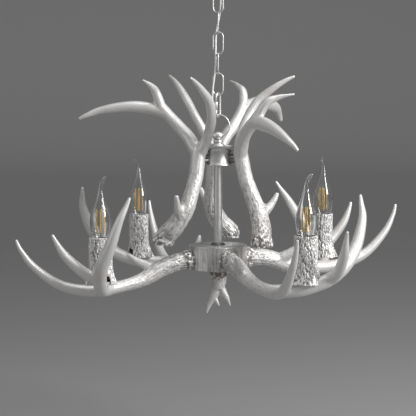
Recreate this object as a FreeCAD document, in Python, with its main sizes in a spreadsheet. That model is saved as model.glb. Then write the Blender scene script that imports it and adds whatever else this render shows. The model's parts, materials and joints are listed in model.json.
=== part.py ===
"""Antler chandelier: ceiling canopy, chain, flared cap, drum hub, seven antlers and four candle lights.

Millimetres and degrees. The origin is the middle of the ceiling face, Z points up, and the object is
seen from the front by looking along +Y. Everything hangs below the origin.
"""

import FreeCAD
import Part
import Sketcher
import math
import os
from FreeCAD import Placement, Rotation, Vector

X_AXIS = Vector(1, 0, 0)
Y_AXIS = Vector(0, 1, 0)
Z_AXIS = Vector(0, 0, 1)

# ---------------------------------------------------------------------------------------------------
# Driving dimensions: (name, value, what it is)
# ---------------------------------------------------------------------------------------------------
SIZES = [
    ("bracket_length", 110, "ceiling crossbar, end to end"),
    ("bracket_width", 22, "ceiling crossbar, across"),
    ("bracket_thickness", 2.5, "ceiling crossbar sheet"),
    ("bracket_end_gap", 5.5, "ceiling crossbar's ends to the canopy's rim"),
    ("bracket_hole_spacing", 88, "between the two ceiling screw holes"),
    ("bracket_hole_radius", 2.5, "ceiling screw hole"),
    ("nipple_radius", 5, "threaded tube through bracket, canopy and collar"),
    ("nipple_bore", 3.4, "bore radius of that tube"),
    ("nipple_length", 37, "from the ceiling face down into the loop"),
    ("nipple_top_gap", 0.4, "tube's end below the ceiling face"),
    ("lock_nut_across", 17, "lock nut on the tube, corner to corner"),
    ("lock_nut_height", 5, "lock nut on the tube"),
    ("canopy_depth", 26, "canopy, ceiling to its flat bottom"),
    ("canopy_wall", 1.5, "canopy sheet"),
    ("canopy_flat_radius", 22, "flat bottom of the canopy"),
    ("canopy_rim_height", 5, "straight band at the canopy's rim"),
    ("canopy_bulge", 9, "bulge of the canopy's round side"),
    ("collar_radius", 9, "screw collar under the canopy"),
    ("collar_height", 6, "screw collar under the canopy"),
    ("loop_neck_radius", 7, "threaded neck of the canopy loop"),
    ("loop_neck_length", 9, "threaded neck of the canopy loop"),
    ("loop_thread_depth", 6, "thread depth in the loop's neck"),
    ("loop_radius", 10, "canopy loop, middle of its wire"),
    ("loop_sink", 0.6, "canopy loop's wire above the neck's lower end"),
    ("loop_wire", 2, "canopy loop, wire radius"),
    ("link_wire", 1.1, "chain wire radius"),
    ("link_half_width", 8.4, "chain link, middle of its wire from the centre line"),
    ("link_length", 36.9, "chain link, middle of wire to middle of wire"),
    ("link_count", 6, "links from the canopy loop to the quick link"),
    ("hang_gap", 0.3, "play between two hanging wires"),
    ("quick_wire", 1.75, "quick link wire radius"),
    ("quick_half_width", 6, "quick link, middle of its wire from the centre line"),
    ("quick_length", 39.1, "quick link, middle of wire to middle of wire"),
    ("quick_twist", 33, "quick link's turn about the vertical"),
    ("quick_nut_radius", 2.75, "sleeve nut of the quick link"),
    ("quick_nut_height", 12, "sleeve nut of the quick link"),
    ("quick_nut_rise", 12.8, "sleeve nut's lower end above the lower wire"),
    ("quick_mouth", 7, "opening of the quick link under its nut"),
    ("quick_mouth_cover", 1, "nut below the opening"),
    ("ring_radius", 19.1, "ring through the ball, middle of its wire"),
    ("ring_wire", 1.25, "ring's wire radius"),
    ("ring_hole_offset", 1.29, "ball's cross hole above the ring's lowest wire"),
    ("ball_hole_radius", 2.9, "cross hole of the ball"),
    ("ball_hole_height", 15.35, "cross hole above the cap"),
    ("stem_foot_radius", 11, "foot of the turned stem"),
    ("stem_foot_height", 3.4, "foot of the turned stem"),
    ("stem_foot_taper", 1.5, "foot's upper edge inside its lower edge"),
    ("bead_gap", 0.4, "groove between foot and bead"),
    ("bead_neck_radius", 5.6, "stem above and below the bead"),
    ("bead_height", 6.4, "bead of the turned stem"),
    ("bead_bulge", 2, "bead's rounding"),
    ("neck_radius", 4.6, "neck under the ball"),
    ("ball_bulge", 5.6, "ball's rounding"),
    ("ball_bottom", 10.9, "ball's lower end above the cap"),
    ("ball_top", 23.4, "ball's upper end above the cap"),
    ("ball_top_radius", 3.2, "flat spot on top of the ball"),
    ("tie_rod_radius", 4, "threaded rod that holds the stack together"),
    ("tie_rod_in_stem", 8.6, "rod's thread inside the stem"),
    ("thread_end_gap", 0.4, "rod's end to the end of the stem's thread"),
    ("tie_rod_in_finial", 16, "rod's thread inside the finial"),
    ("fit_gap", 0.1, "radial play of a pin in its own bore"),
    ("cap_radius", 25, "cap's upper rim"),
    ("cap_lip_radius", 24.5, "cap's lower lip"),
    ("cap_waist_radius", 22, "cap's waist"),
    ("cap_height", 32, "cap, lip to top"),
    ("cap_lip_height", 5, "cap's lower lip"),
    ("cap_flare_height", 5, "cap's hollow flare under the rim"),
    ("cap_flare_hollow", 0.8, "hollow of that flare"),
    ("cap_rim_height", 4, "cap's upper rim"),
    ("cap_wall", 1.6, "cap's skirt"),
    ("cap_plate", 2, "cap's top plate"),
    ("rod_radius", 7, "centre tube"),
    ("rod_length", 166, "centre tube, hub lid to cap plate"),
    ("rod_bore", 4.3, "centre tube's bore radius"),
    ("rod_washer_radius", 12, "washer at the foot of the centre tube"),
    ("rod_washer_height", 4, "washer at the foot of the centre tube"),
    ("rod_washer_shoulder", 9, "upper radius of that washer"),
    ("rod_washer_edge", 1.5, "straight edge of that washer"),
    ("rod_nut_across", 16, "nut on the tie rod, corner to corner"),
    ("rod_nut_height", 6, "nut on the tie rod"),
    ("hub_radius", 49, "drum hub"),
    ("hub_wall", 2.5, "drum hub's wall"),
    ("hub_shell_height", 36.5, "drum hub's wall"),
    ("hub_edge", 1.5, "edge of the bottom under the wall"),
    ("hub_plate", 2, "hub's lid and bottom sheet"),
    ("hub_dome", 4, "depth of the domed bottom"),
    ("hub_dome_flat", 14, "flat middle of the domed bottom"),
    ("hub_dome_bulge", 1, "bulge of the domed bottom"),
    ("hub_register", 3, "lip of lid and bottom inside the wall"),
    ("hub_register_wall", 2, "thickness of that lip"),
    ("screw_radius", 2.4, "antler screws"),
    ("screw_head_radius", 4, "antler screw heads"),
    ("screw_head_height", 2.4, "antler screw heads"),
    ("screw_in_antler", 14, "thread depth in an antler"),
    ("screw_spread", 6, "each screw above or below the pair's middle"),
    ("spacer_radius", 4.5, "tubes between cap and upper antlers"),
    ("spacer_length", 9.4, "tubes between cap and upper antlers"),
    ("pad_gap", 1, "flat on the antler round a tube's end"),
    ("pad_depth", 1.5, "depth of that flat"),
    ("arm_drop", 24, "middle of the lower antlers' roots below the hub's top"),
    ("left_azimuth", 198, "left lower antler, about Z from +X"),
    ("left_tilt", -3.5, "left lower antler, outer end up"),
    ("left_roll", 4, "left lower antler, about its own length"),
    ("front_azimuth", 290, "front lower antler"),
    ("front_tilt", 1, "front lower antler"),
    ("front_roll", -1, "front lower antler"),
    ("right_azimuth", 21, "right lower antler"),
    ("right_tilt", 4, "right lower antler"),
    ("right_roll", -5, "right lower antler"),
    ("rear_azimuth", 111, "rear lower antler"),
    ("rear_tilt", 2, "rear lower antler"),
    ("rear_roll", -4, "rear lower antler"),
    ("upper_left_azimuth", 198.5, "left upper antler"),
    ("upper_left_droop", 0, "left upper antler's crown, outwards"),
    ("upper_right_azimuth", 318.5, "right upper antler"),
    ("upper_right_droop", 12, "right upper antler's crown, outwards"),
    ("upper_rear_azimuth", 78.5, "rear upper antler"),
    ("upper_rear_droop", 3, "rear upper antler's crown, outwards"),
    ("upper_lead", 17.3, "where an upper antler is held, ahead of its azimuth"),
    ("upper_grip_radius", 12.6, "upper antler's radius where it is held"),
    ("upper_grip_height", 14, "where the upper antlers are held, above the cap's lip"),
    ("seat_out", 175, "candle seat from the hub's wall"),
    ("seat_side", 66, "candle seat from the antler's own middle"),
    ("seat_up", -19, "candle seat above the root's middle"),
    ("seat_clearance", 0.6, "flat on the antler round the sleeve's foot"),
    ("sleeve_radius", 17.5, "bark sleeve"),
    ("sleeve_bore", 14, "bark sleeve's bore radius"),
    ("sleeve_height", 77, "bark sleeve, foot to top"),
    ("sleeve_foot_radius", 27, "flared foot of the sleeve"),
    ("sleeve_foot_wall", 3, "thickness at the foot"),
    ("sleeve_flare_height", 31, "flared part of the sleeve"),
    ("sleeve_bore_foot", 30, "sleeve's straight bore above its foot"),
    ("sleeve_flare_hollow", 4, "hollow of the flare"),
    ("arch_radius", 9, "arched opening in the sleeve's foot"),
    ("arch_rise", 6, "middle of the arch above the foot"),
    ("arch_heading", 100, "the arch's direction, about Z from the antler's own"),
    ("pan_radius", 18.5, "metal pan in the sleeve's foot"),
    ("pan_height", 5, "metal pan's rim"),
    ("pan_sheet", 1.5, "metal pan's sheet"),
    ("candle_nipple_radius", 5, "threaded tube that holds pan and lamp holder"),
    ("candle_nipple_bore", 3.2, "bore radius of that tube"),
    ("candle_nipple_depth", 12, "tube's thread in the antler"),
    ("candle_nipple_rise", 13, "tube above the pan"),
    ("holder_radius", 12.6, "lamp holder"),
    ("bulb_cap_radius", 6.9, "bulb's screw cap"),
    ("bulb_cap_length", 22, "bulb's screw cap"),
    ("bulb_cap_play", 0.2, "screw cap in the holder's thread"),
    ("bulb_collar_radius", 8, "collar between screw cap and glass"),
    ("bulb_collar_height", 2, "collar between screw cap and glass"),
    ("bulb_running_gap", 0.2, "play between holder, bulb's cap and glass"),
    ("bulb_contact_height", 1.2, "tapered contact under the screw cap"),
    ("bulb_contact_radius", 4.4, "tapered contact under the screw cap"),
    ("glass_drop", 12, "lower end of the glass below the sleeve's top"),
    ("glass_wall", 0.8, "bulb's glass"),
    ("stem_disc_radius", 6.4, "glass stem's foot in the bulb"),
    ("stem_disc_height", 2, "glass stem's foot in the bulb"),
    ("stem_radius", 2.6, "glass stem in the bulb"),
    ("filament_radius", 0.9, "one filament"),
    ("filament_offset", 6, "filaments from the bulb's middle"),
    ("filament_bottom", 19, "filaments' lower end above the glass's lower end"),
    ("filament_top", 56, "filaments' upper end above the glass's lower end"),
    ("spider_height", 1.2, "plates that hold the filaments"),
    ("spider_margin", 0.3, "those plates beyond the filaments"),
    ("left_tip_heading", 0, "bent tip of the left antler's bulb, about Z from +X"),
    ("front_tip_heading", 10, "bent tip of the front antler's bulb"),
    ("right_tip_heading", 100, "bent tip of the right antler's bulb"),
    ("rear_tip_heading", 170, "bent tip of the rear antler's bulb"),
    ("cord_radius", 1.5, "power cord"),
    ("grommet_radius", 3, "rubber grommets of the cord"),
    ("grommet_flange", 1.2, "flange of a grommet on each side of its sheet"),
    ("grommet_lip", 1, "flange of a grommet beyond its hole"),
    ("canopy_grommet_x", -16, "cord's hole in the canopy"),
    ("canopy_grommet_y", -6, "cord's hole in the canopy"),
    ("cap_grommet_x", -14.4, "cord's hole in the cap"),
    ("cap_grommet_y", -6.6, "cord's hole in the cap"),
]

# ---------------------------------------------------------------------------------------------------
# Antler castings: (out, side, up, radius) along each branch
# ---------------------------------------------------------------------------------------------------
# A lower antler: from the middle of its root on the hub's wall.
LOWER_BEAM = [
    (-8, 0, 0, 14),
    (1, 0, 0, 17.5),
    (9, 0, 0, 17.5),
    (15, 0, -1, 15),
    (28, 0, -2, 15),
    (52, 1, -9, 14.5),
    (76, 4, -20, 13),
    (100, 8, -27, 11.5),
    (126, 12, -31, 10.5),
    (153, 16, -33, 11.5),
]
LOWER_END_TINE = [
    (148, 16, -33, 10.5),
    (186, 14, -32, 9.5),
    (230, 8, -18, 7.5),
    (268, 3, 14, 5.5),
    (288, 1, 44, 3.2),
    (294, 0, 62, 1),
]
LOWER_SPUR = [
    (56, 0, -12, 11),
    (80, -12, 0, 8),
    (94, -20, 11, 5),
    (101, -25, 19, 1.5),
]
# The side beam carries the candle: its points are taken from the candle's seat, the first one apart.
LOWER_SIDE_ROOT = (148, 14, -33, 10.5)
LOWER_SIDE_BEAM = [
    (-10, -24, -12, 11.5),
    (1, 4, -6.5, 11.3),
    (11, 38, 8, 10.5),
    (13, 64, 31, 10),
    (3, 86, 61, 9),
    (-11, 102, 101, 6.5),
    (-25, 106, 127, 3.5),
    (-31, 107, 139, 1),
]
LOWER_MID_TINE = [
    (12, 38, 8, 9),
    (35, 41, 23, 7.5),
    (62, 38, 51, 6),
    (75, 35, 74, 3.5),
    (81, 34, 89, 1),
]
# An upper antler: from the middle of its trunk where the cap holds it.
UPPER_TRUNK = [
    (58.5, -13.6, -147, 13.5),
    (58, -13.6, -143, 16.5),
    (55, -12, -137, 16.5),
    (51, -8, -129, 14),
    (41.5, 3.4, -115, 13.5),
    (25.5, 11.4, -88, 13),
    (14.5, 9.4, -62, 12.5),
    (6, 5.4, -38, 12.5),
    (1.5, 2.4, -15, 12.5),
    (-1.5, -1.6, 10, 12.5),
]
UPPER_CROWN = [
    (-1.5, -1.6, 3, 12),
    (9.5, -14.6, 30, 11),
    (22.5, -25.6, 48, 10.5),
    (38.5, -33.6, 67, 10),
    (51.5, -37.6, 82, 9.5),
]
UPPER_TIP_TINE = [
    (50, -37, 77, 8.6),
    (61.5, -35.6, 107, 7.5),
    (73.5, -24.6, 119, 5),
    (86, -14, 126, 2.6),
    (93.5, -5.6, 129, 1),
]
UPPER_SWEEP_TINE = [
    (47.5, -36.6, 74, 8.5),
    (75.5, -48.6, 82, 8),
    (109.5, -62.6, 83, 7),
    (147.5, -76.6, 77, 5),
    (172, -82, 68, 3),
    (181.5, -85.6, 63, 1),
]
UPPER_INNER_TINE = [
    (-2, -1, 0, 10.5),
    (-8, 6, 17, 10),
    (-12.5, 15.4, 35, 8.8),
    (-13.5, 32.4, 65, 8),
    (-4.5, 49.4, 93, 7.5),
    (13.5, 65.4, 113, 6),
    (30, 80, 127, 3.4),
    (41.5, 90.4, 134, 1),
]
UPPER_SPUR = [
    (31, 8, -98, 7.5),
    (40.5, 21.4, -86, 5.5),
    (45, 30, -76, 3.4),
    (47, 34, -68, 1.2),
]
# The finial: from the middle of the hub's bottom, in front view.
FINIAL_TRUNK = [
    (0, 0, 6, 10),
    (0, 0, 0, 11.5),
    (1, 0, -9, 12),
    (1, 0, -20, 11),
    (-1, 0, -32, 8.5),
]
FINIAL_LEFT_TINE = [
    (0, 0, -24, 8.5),
    (-6, 0, -39, 7.5),
    (-12, 1, -52, 5.5),
    (-17, 1, -64, 3.4),
    (-19, 1, -73, 1),
]
FINIAL_SHORT_TINE = [
    (-8, 0, -43, 5.5),
    (-3, -1, -51, 3.6),
    (1.6, -2, -60, 1),
]
FINIAL_RIGHT_TINE = [
    (1, 0, -22, 8.5),
    (9, 1, -37, 6.5),
    (15, 1, -47, 4.6),
    (19, 1, -56, 2.4),
    (21, 1, -61, 1),
]
# A bulb's glass: (sideways, 0, height above its lower end, radius); the last points are its bent tip.
GLASS = [
    (0, 0, 0, 7.9),
    (0, 0, 5, 10.6),
    (0, 0, 12, 12.9),
    (0, 0, 24, 15.9),
    (0, 0, 39, 17.4),
    (0, 0, 56, 15.6),
    (0, 0, 72, 11),
    (0, 0, 84, 6.4),
    (1, 0, 92, 4),
    (4, 0, 100, 2.6),
    (8, 0, 107, 1),
]
GLASS_TIP_POINTS = 2

# The cord: (x, y, height above the hub's top) from inside the canopy to inside the cap.
CORD = [
    (-16, -6, 499),
    (-16, -6, 478),
    (-5.4, -4.6, 457),
    (4.0, -4.1, 426.5),
    (4.0, 4.0, 392),
    (-4.0, 4.1, 357.5),
    (-4.1, -4.0, 323),
    (-5.2, -4.4, 288.5),
    (-9.6, -5.4, 262),
    (-9.6, -6.9, 232),
    (-12.6, -7.2, 203),
    (-14.4, -6.6, 182),
    (-14.4, -6.6, 163),
]

# How far a cutter runs past the surface that it cuts.
OVERRUN = 2

doc = FreeCAD.newDocument("AntlerChandelier")
sheet = doc.addObject("Spreadsheet::Sheet", "Sizes")
nodes = []


class Size:
    """A sheet cell, or a sum or product of some, as an expression's text and as a number."""

    def __init__(self, text, number):
        self.text = text
        self.number = number

    def __float__(self):
        return float(self.number)

    def __add__(self, other):
        other = as_size(other)
        return Size(f"({self.text} + {other.text})", self.number + other.number)

    def __sub__(self, other):
        other = as_size(other)
        return Size(f"({self.text} - {other.text})", self.number - other.number)

    def __mul__(self, other):
        other = as_size(other)
        return Size(f"({self.text} * {other.text})", self.number * other.number)

    def __truediv__(self, other):
        other = as_size(other)
        return Size(f"({self.text} / {other.text})", self.number / other.number)

    def __neg__(self):
        return Size(f"(0 - {self.text})", -self.number)

    __radd__ = __add__
    __rmul__ = __mul__


def as_size(number):
    """A plain number as a Size; a Size stays as it is."""
    if isinstance(number, Size):
        return number
    return Size(f"({number})", number)


def fill_sheet():
    """Writes the driving dimensions to the sheet, one row each."""
    for row, (name, value, meaning) in enumerate(SIZES, start=1):
        sheet.set(f"A{row}", meaning)
        sheet.set(f"B{row}", str(value))
        sheet.setAlias(f"B{row}", name)
    doc.recompute()


class Cells:
    """The sheet's cells by name, each as a Size."""

    def __getattr__(self, name):
        return Size(f"Sizes.{name}", float(sheet.get(name)))


d = Cells()


def bind(thing, **sizes):
    """Binds properties to sheet cells, and sets their numbers at once."""
    for name, size in sizes.items():
        thing.setExpression(name, as_size(size).text)
        setattr(thing, name, float(size))


def lift(thing, height):
    """Binds the height at which a sub-part stands."""
    thing.setExpression("Placement.Base.z", as_size(height).text)


def keep(thing, label):
    """Names a sub-part and lists it for writing."""
    thing.Label = label
    nodes.append(thing)
    return thing


def primitive(kind, name, place=Placement(), **sizes):
    """A Part primitive or boolean with its sizes bound to the sheet."""
    thing = doc.addObject(f"Part::{kind}", name)
    bind(thing, **sizes)
    thing.Placement = place
    return thing


def joined(name, pieces):
    """One solid from several that run into each other."""
    thing = doc.addObject("Part::MultiFuse", name)
    thing.Shapes = pieces
    return thing


def less(name, base, tool):
    """A piece with another one cut away."""
    thing = doc.addObject("Part::Cut", name)
    thing.Base = base
    thing.Tool = tool
    return thing


def feature(name, shape):
    """A shape worked out in this file."""
    thing = doc.addObject("Part::Feature", name)
    thing.Shape = shape
    return thing


def copies(name, pattern, places):
    """Separate copies of one solid, or a compound of cutters."""
    doc.recompute()
    shapes = []
    for place in places:
        shape = pattern.Shape.copy()
        shape.Placement = place.multiply(shape.Placement)
        shapes.append(shape)
    return feature(name, Part.makeCompound(shapes))


class Arc:
    """Leads to the next corner of a section by an arc: it bulges to the left of the way, or to the right."""

    def __init__(self, bulge, side):
        self.bulge = bulge
        self.side = side


LEFT = 1
RIGHT = -1


def arc_radius(start, end, bulge):
    """The radius of the arc between two (radius, height) corners that bulges that far from its chord."""
    wide = end[0] - start[0]
    high = end[1] - start[1]
    return ((wide * wide + high * high) * 0.25 + bulge * bulge) / (bulge * 2)


def section_edge(start, end, radius, side):
    """An arc from one point to another, and whether its own first end is the second point."""
    chord = end - start
    rise = math.sqrt(max(radius**2 - (chord.Length / 2) ** 2, 0))
    leftwards = Vector(-chord.y, chord.x, 0).normalize()
    centre = (start + end) / 2 - leftwards * (rise * side)
    first = math.atan2(start.y - centre.y, start.x - centre.x)
    last = math.atan2(end.y - centre.y, end.x - centre.x)
    circle = Part.Circle(centre, Z_AXIS, radius)
    if side == LEFT:
        return Part.ArcOfCircle(circle, last, first), True
    return Part.ArcOfCircle(circle, first, last), False


def section_corners(profile):
    """The corners of a section, and for each the arc that leads to it, if one does."""
    corners = []
    arcs = []
    arc = None
    for item in profile:
        if isinstance(item, Arc):
            arc = item
            continue
        corners.append((as_size(item[0]), as_size(item[1])))
        arcs.append(arc)
        arc = None
    return corners, arcs


def turned(name, profile):
    """A body turned about Z. Its profile lists (radius, height) corners, each after the Arc that leads to it."""
    body = doc.addObject("PartDesign::Body", name)
    sketch = body.newObject("Sketcher::SketchObject", f"{name}_section")
    upright = next(plane for plane in body.Origin.OriginFeatures if plane.Role == "XZ_Plane")
    sketch.AttachmentSupport = [(upright, "")]
    sketch.MapMode = "FlatFace"
    corners, arcs = section_corners(profile)
    count = len(corners)
    ends = []
    for k, start in enumerate(corners):
        end = corners[(k + 1) % count]
        arc = arcs[(k + 1) % count]
        first = Vector(float(start[0]), float(start[1]), 0)
        last = Vector(float(end[0]), float(end[1]), 0)
        if arc is None:
            number = sketch.addGeometry(Part.LineSegment(first, last), False)
            ends.append((number, 1, 2))
            continue
        radius = arc_radius(start, end, as_size(arc.bulge))
        edge, backwards = section_edge(first, last, float(radius), arc.side)
        number = sketch.addGeometry(edge, False)
        pin(sketch, Sketcher.Constraint("Radius", number, float(radius)), radius)
        ends.append((number, 2, 1) if backwards else (number, 1, 2))
    for k, (number, near, far) in enumerate(ends):
        following = ends[(k + 1) % count]
        sketch.addConstraint(Sketcher.Constraint("Coincident", number, far, following[0], following[1]))
        radius, height = corners[k]
        pin_to_axis(sketch, number, near, "DistanceX", radius)
        pin_to_axis(sketch, number, near, "DistanceY", height)
    turn = body.newObject("PartDesign::Revolution", f"{name}_turn")
    turn.Profile = sketch
    turn.ReferenceAxis = (sketch, ["V_Axis"])
    turn.Angle = 360
    body.Tip = turn
    return body


def pin(sketch, constraint, size):
    """Adds a constraint and binds it to the sheet."""
    number = sketch.addConstraint(constraint)
    sketch.setExpression(f"Constraints[{number}]", as_size(size).text)


def pin_to_axis(sketch, number, end, way, size):
    """Places one end of a section's edge from the origin; a zero puts it on the axis."""
    if float(size) == 0:
        axis = -2 if way == "DistanceX" else -1
        sketch.addConstraint(Sketcher.Constraint("PointOnObject", number, end, axis))
    else:
        pin(sketch, Sketcher.Constraint(way, -1, 1, number, end, float(size)), size)


def tube(name, outer, bore, length):
    """A straight tube that stands on its own origin."""
    return turned(name, [(bore, 0), (outer, 0), (outer, length), (bore, length)])


# ---------------------------------------------------------------------------------------------------
# Antler branches
# ---------------------------------------------------------------------------------------------------
SMOOTH_STEPS = 2


def smooth(points):
    """Rows through the points with one more between each two, on a smooth curve."""
    first = [2 * a - b for a, b in zip(points[0], points[1])]
    last = [2 * a - b for a, b in zip(points[-1], points[-2])]
    ends = [first, *points, last]
    rows = []
    for before, start, end, after in zip(ends, ends[1:], ends[2:], ends[3:]):
        for step in range(SMOOTH_STEPS):
            part = step / SMOOTH_STEPS
            rows.append([between(*four, part) for four in zip(before, start, end, after)])
    rows.append(list(points[-1]))
    return rows


def between(before, start, end, after, part):
    """A value on the smooth curve from start to end."""
    slope = end - before
    bend = 2 * before - 5 * start + 4 * end - after
    twist = 3 * start - before - 3 * end + after
    return start + (slope * part + bend * part**2 + twist * part**3) / 2


def branch(points):
    """A solid of round sections along (out, side, up, radius) points."""
    rows = smooth(points)
    middles = [Vector(*row[:3]) for row in rows]
    across = None
    sections = []
    for k, row in enumerate(rows):
        ahead = middles[min(k + 1, len(rows) - 1)] - middles[max(k - 1, 0)]
        ahead.normalize()
        if across is None:
            across = ahead.cross(Y_AXIS)
        across = across - ahead * across.dot(ahead)
        across.normalize()
        section = Part.Wire(Part.makeCircle(row[3]))
        turn = Rotation(across, ahead.cross(across), ahead, "ZXY")
        section.Placement = Placement(middles[k], turn)
        sections.append(section)
    return Part.makeLoft(sections, True, False)


def casting(branches):
    """One solid from branches that grow out of each other."""
    solids = [branch(points) for points in branches]
    return solids[0].fuse(solids[1:])


def shifted(points, out, side, up):
    """Branch points moved by a fixed amount."""
    return [(a + out, b + side, c + up, radius) for a, b, c, radius in points]


def drooped(points, angle):
    """Branch points turned outwards about the antler's side axis, at the place where it is held."""
    turn = Rotation(Y_AXIS, angle)
    moved = [turn.multVec(Vector(*row[:3])) for row in points]
    return [(spot.x, spot.y, spot.z, row[3]) for spot, row in zip(moved, points)]


# ---------------------------------------------------------------------------------------------------
# Ceiling group
# ---------------------------------------------------------------------------------------------------
def ceiling_bracket():
    """Crossbar against the ceiling, with two screw holes and a threaded middle hole."""
    middle = Vector(-float(d.bracket_length) / 2, -float(d.bracket_width) / 2, -float(d.bracket_thickness))
    bar = primitive("Box", "bracket_bar", Placement(middle, Rotation()),
                    Length=d.bracket_length, Width=d.bracket_width, Height=d.bracket_thickness)
    holes = []
    drill_length = d.bracket_thickness * 3
    low = -2 * float(d.bracket_thickness)
    for side in (-1, 1):
        place = Placement(Vector(side * float(d.bracket_hole_spacing) / 2, 0, low), Rotation())
        holes.append(primitive("Cylinder", "bracket_hole", place,
                               Radius=d.bracket_hole_radius, Height=drill_length))
    holes.append(primitive("Cylinder", "bracket_thread", Placement(Vector(0, 0, low), Rotation()),
                           Radius=d.nipple_radius + d.fit_gap, Height=drill_length))
    keep(less("ceiling_bracket", bar, joined("bracket_holes", holes)), "ceiling_bracket")


def hex_nut(name, across, height, bore):
    """A six-sided nut on its own origin."""
    blank = primitive("Prism", f"{name}_blank", Circumradius=across * 0.5, Height=height)
    blank.Polygon = 6
    hole = primitive("Cylinder", f"{name}_thread", Placement(Vector(0, 0, -OVERRUN), Rotation()),
                     Radius=bore, Height=height + 2 * OVERRUN)
    return less(name, blank, hole)


def canopy():
    """Domed cover on the ceiling, its flat bottom down, with a hole for the cord's grommet."""
    bore = d.nipple_radius + d.fit_gap
    brim = d.canopy_depth - d.canopy_rim_height
    shell = turned("canopy_shell", [
        (bore, 0),
        (d.canopy_flat_radius, 0),
        Arc(d.canopy_bulge, RIGHT),
        (CANOPY_RADIUS, brim),
        (CANOPY_RADIUS, d.canopy_depth),
        (CANOPY_RADIUS - d.canopy_wall, d.canopy_depth),
        (CANOPY_RADIUS - d.canopy_wall, brim),
        Arc(d.canopy_bulge, LEFT),
        (d.canopy_flat_radius, d.canopy_wall),
        (bore, d.canopy_wall),
    ])
    spot = Vector(float(d.canopy_grommet_x), float(d.canopy_grommet_y), -OVERRUN)
    hole = primitive("Cylinder", "canopy_cord_hole", Placement(spot, Rotation()),
                     Radius=d.grommet_radius, Height=d.canopy_wall + 2 * OVERRUN)
    cover = keep(less("canopy", shell, hole), "canopy")
    lift(cover, -d.canopy_depth)


def canopy_collar():
    """Round screw collar that holds the canopy up."""
    ring = tube("canopy_collar", d.collar_radius, d.nipple_radius + d.fit_gap, d.collar_height)
    lift(keep(ring, "canopy_collar"), -(d.canopy_depth + d.collar_height))


def canopy_loop():
    """Threaded neck with the loop that the chain hangs from."""
    neck_top = d.canopy_depth + d.collar_height
    neck = primitive("Cylinder", "loop_neck", Radius=d.loop_neck_radius, Height=d.loop_neck_length)
    lift(neck, NECK_BOTTOM)
    loop = primitive("Torus", "loop_wire", Placement(Vector(), Rotation(X_AXIS, 90)),
                     Radius1=d.loop_radius, Radius2=d.loop_wire)
    lift(loop, LOOP_MIDDLE)
    thread = primitive("Cylinder", "loop_thread", Radius=d.nipple_radius + d.fit_gap,
                       Height=d.loop_thread_depth + OVERRUN)
    lift(thread, -(neck_top + d.loop_thread_depth))
    keep(less("canopy_loop", joined("loop_blank", [neck, loop]), thread), "canopy_loop")


def ceiling_group():
    """Everything that is fixed to the ceiling."""
    ceiling_bracket()
    nut = keep(hex_nut("nipple_nut", d.lock_nut_across, d.lock_nut_height, d.nipple_radius + d.fit_gap),
               "nipple_nut")
    lift(nut, -(d.bracket_thickness + d.lock_nut_height))
    nipple = tube("canopy_nipple", d.nipple_radius, d.nipple_bore, d.nipple_length - d.nipple_top_gap)
    lift(keep(nipple, "canopy_nipple"), -d.nipple_length)
    canopy()
    canopy_collar()
    canopy_loop()


# ---------------------------------------------------------------------------------------------------
# Chain
# ---------------------------------------------------------------------------------------------------
def oval(name, half_width, length, wire):
    """An oval of round wire in the XZ plane, its middle on its own origin."""
    straight = length * 0.5 - half_width
    pieces = []
    for way in (1, -1):
        bend = primitive("Torus", f"{name}_bend", Placement(Vector(), Rotation(X_AXIS, 90 * way)),
                         Radius1=half_width, Radius2=wire)
        bend.Angle3 = 180
        lift(bend, straight * way)
        beside = Placement(Vector(way * float(half_width), 0, 0), Rotation())
        leg = primitive("Cylinder", f"{name}_leg", beside, Radius=wire, Height=straight * 2)
        lift(leg, -straight)
        pieces.extend([bend, leg])
    return joined(name, pieces)


def chain():
    """Oval links that hang in each other, every second one turned a quarter."""
    for number in range(int(float(d.link_count))):
        link = oval(f"chain_link_{number + 1}", d.link_half_width, d.link_length, d.link_wire)
        keep(link, f"chain_link_{number + 1}")
        link.Placement = Placement(Vector(), Rotation(Z_AXIS, 90 if number % 2 == 0 else 0))
        lift(link, FIRST_LINK_TOP - d.link_length * 0.5 - LINK_PITCH * number)


def quick_link():
    """Threaded link between chain and ring, and the sleeve nut that closes its mouth."""
    upright = Rotation(Z_AXIS, 90 - float(d.quick_twist))
    whole = oval("quick_wire", d.quick_half_width, d.quick_length, d.quick_wire)
    nut_foot = QUICK_LINK_BOTTOM + d.quick_nut_rise
    leg = Vector(-float(d.quick_half_width), 0, 0)
    mouth = primitive("Cylinder", "quick_mouth", Placement(leg, Rotation()),
                      Radius=d.quick_wire + OVERRUN, Height=d.quick_mouth)
    lift(mouth, nut_foot + d.quick_mouth_cover - QUICK_LINK_MIDDLE)
    link = keep(less("quick_link", whole, mouth), "quick_link")
    link.Placement = Placement(Vector(), upright)
    lift(link, QUICK_LINK_MIDDLE)
    nut = tube("quick_link_nut", d.quick_nut_radius, d.quick_wire + d.fit_gap, d.quick_nut_height)
    keep(nut, "quick_link_nut")
    nut.Placement = Placement(upright.multVec(leg), Rotation())
    lift(nut, nut_foot)


def fixture_ring():
    """Round ring through the ball of the stem."""
    ring = primitive("Torus", "fixture_ring", Placement(Vector(), Rotation(X_AXIS, 90)),
                     Radius1=d.ring_radius, Radius2=d.ring_wire)
    lift(keep(ring, "fixture_ring"), RING_MIDDLE)


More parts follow.
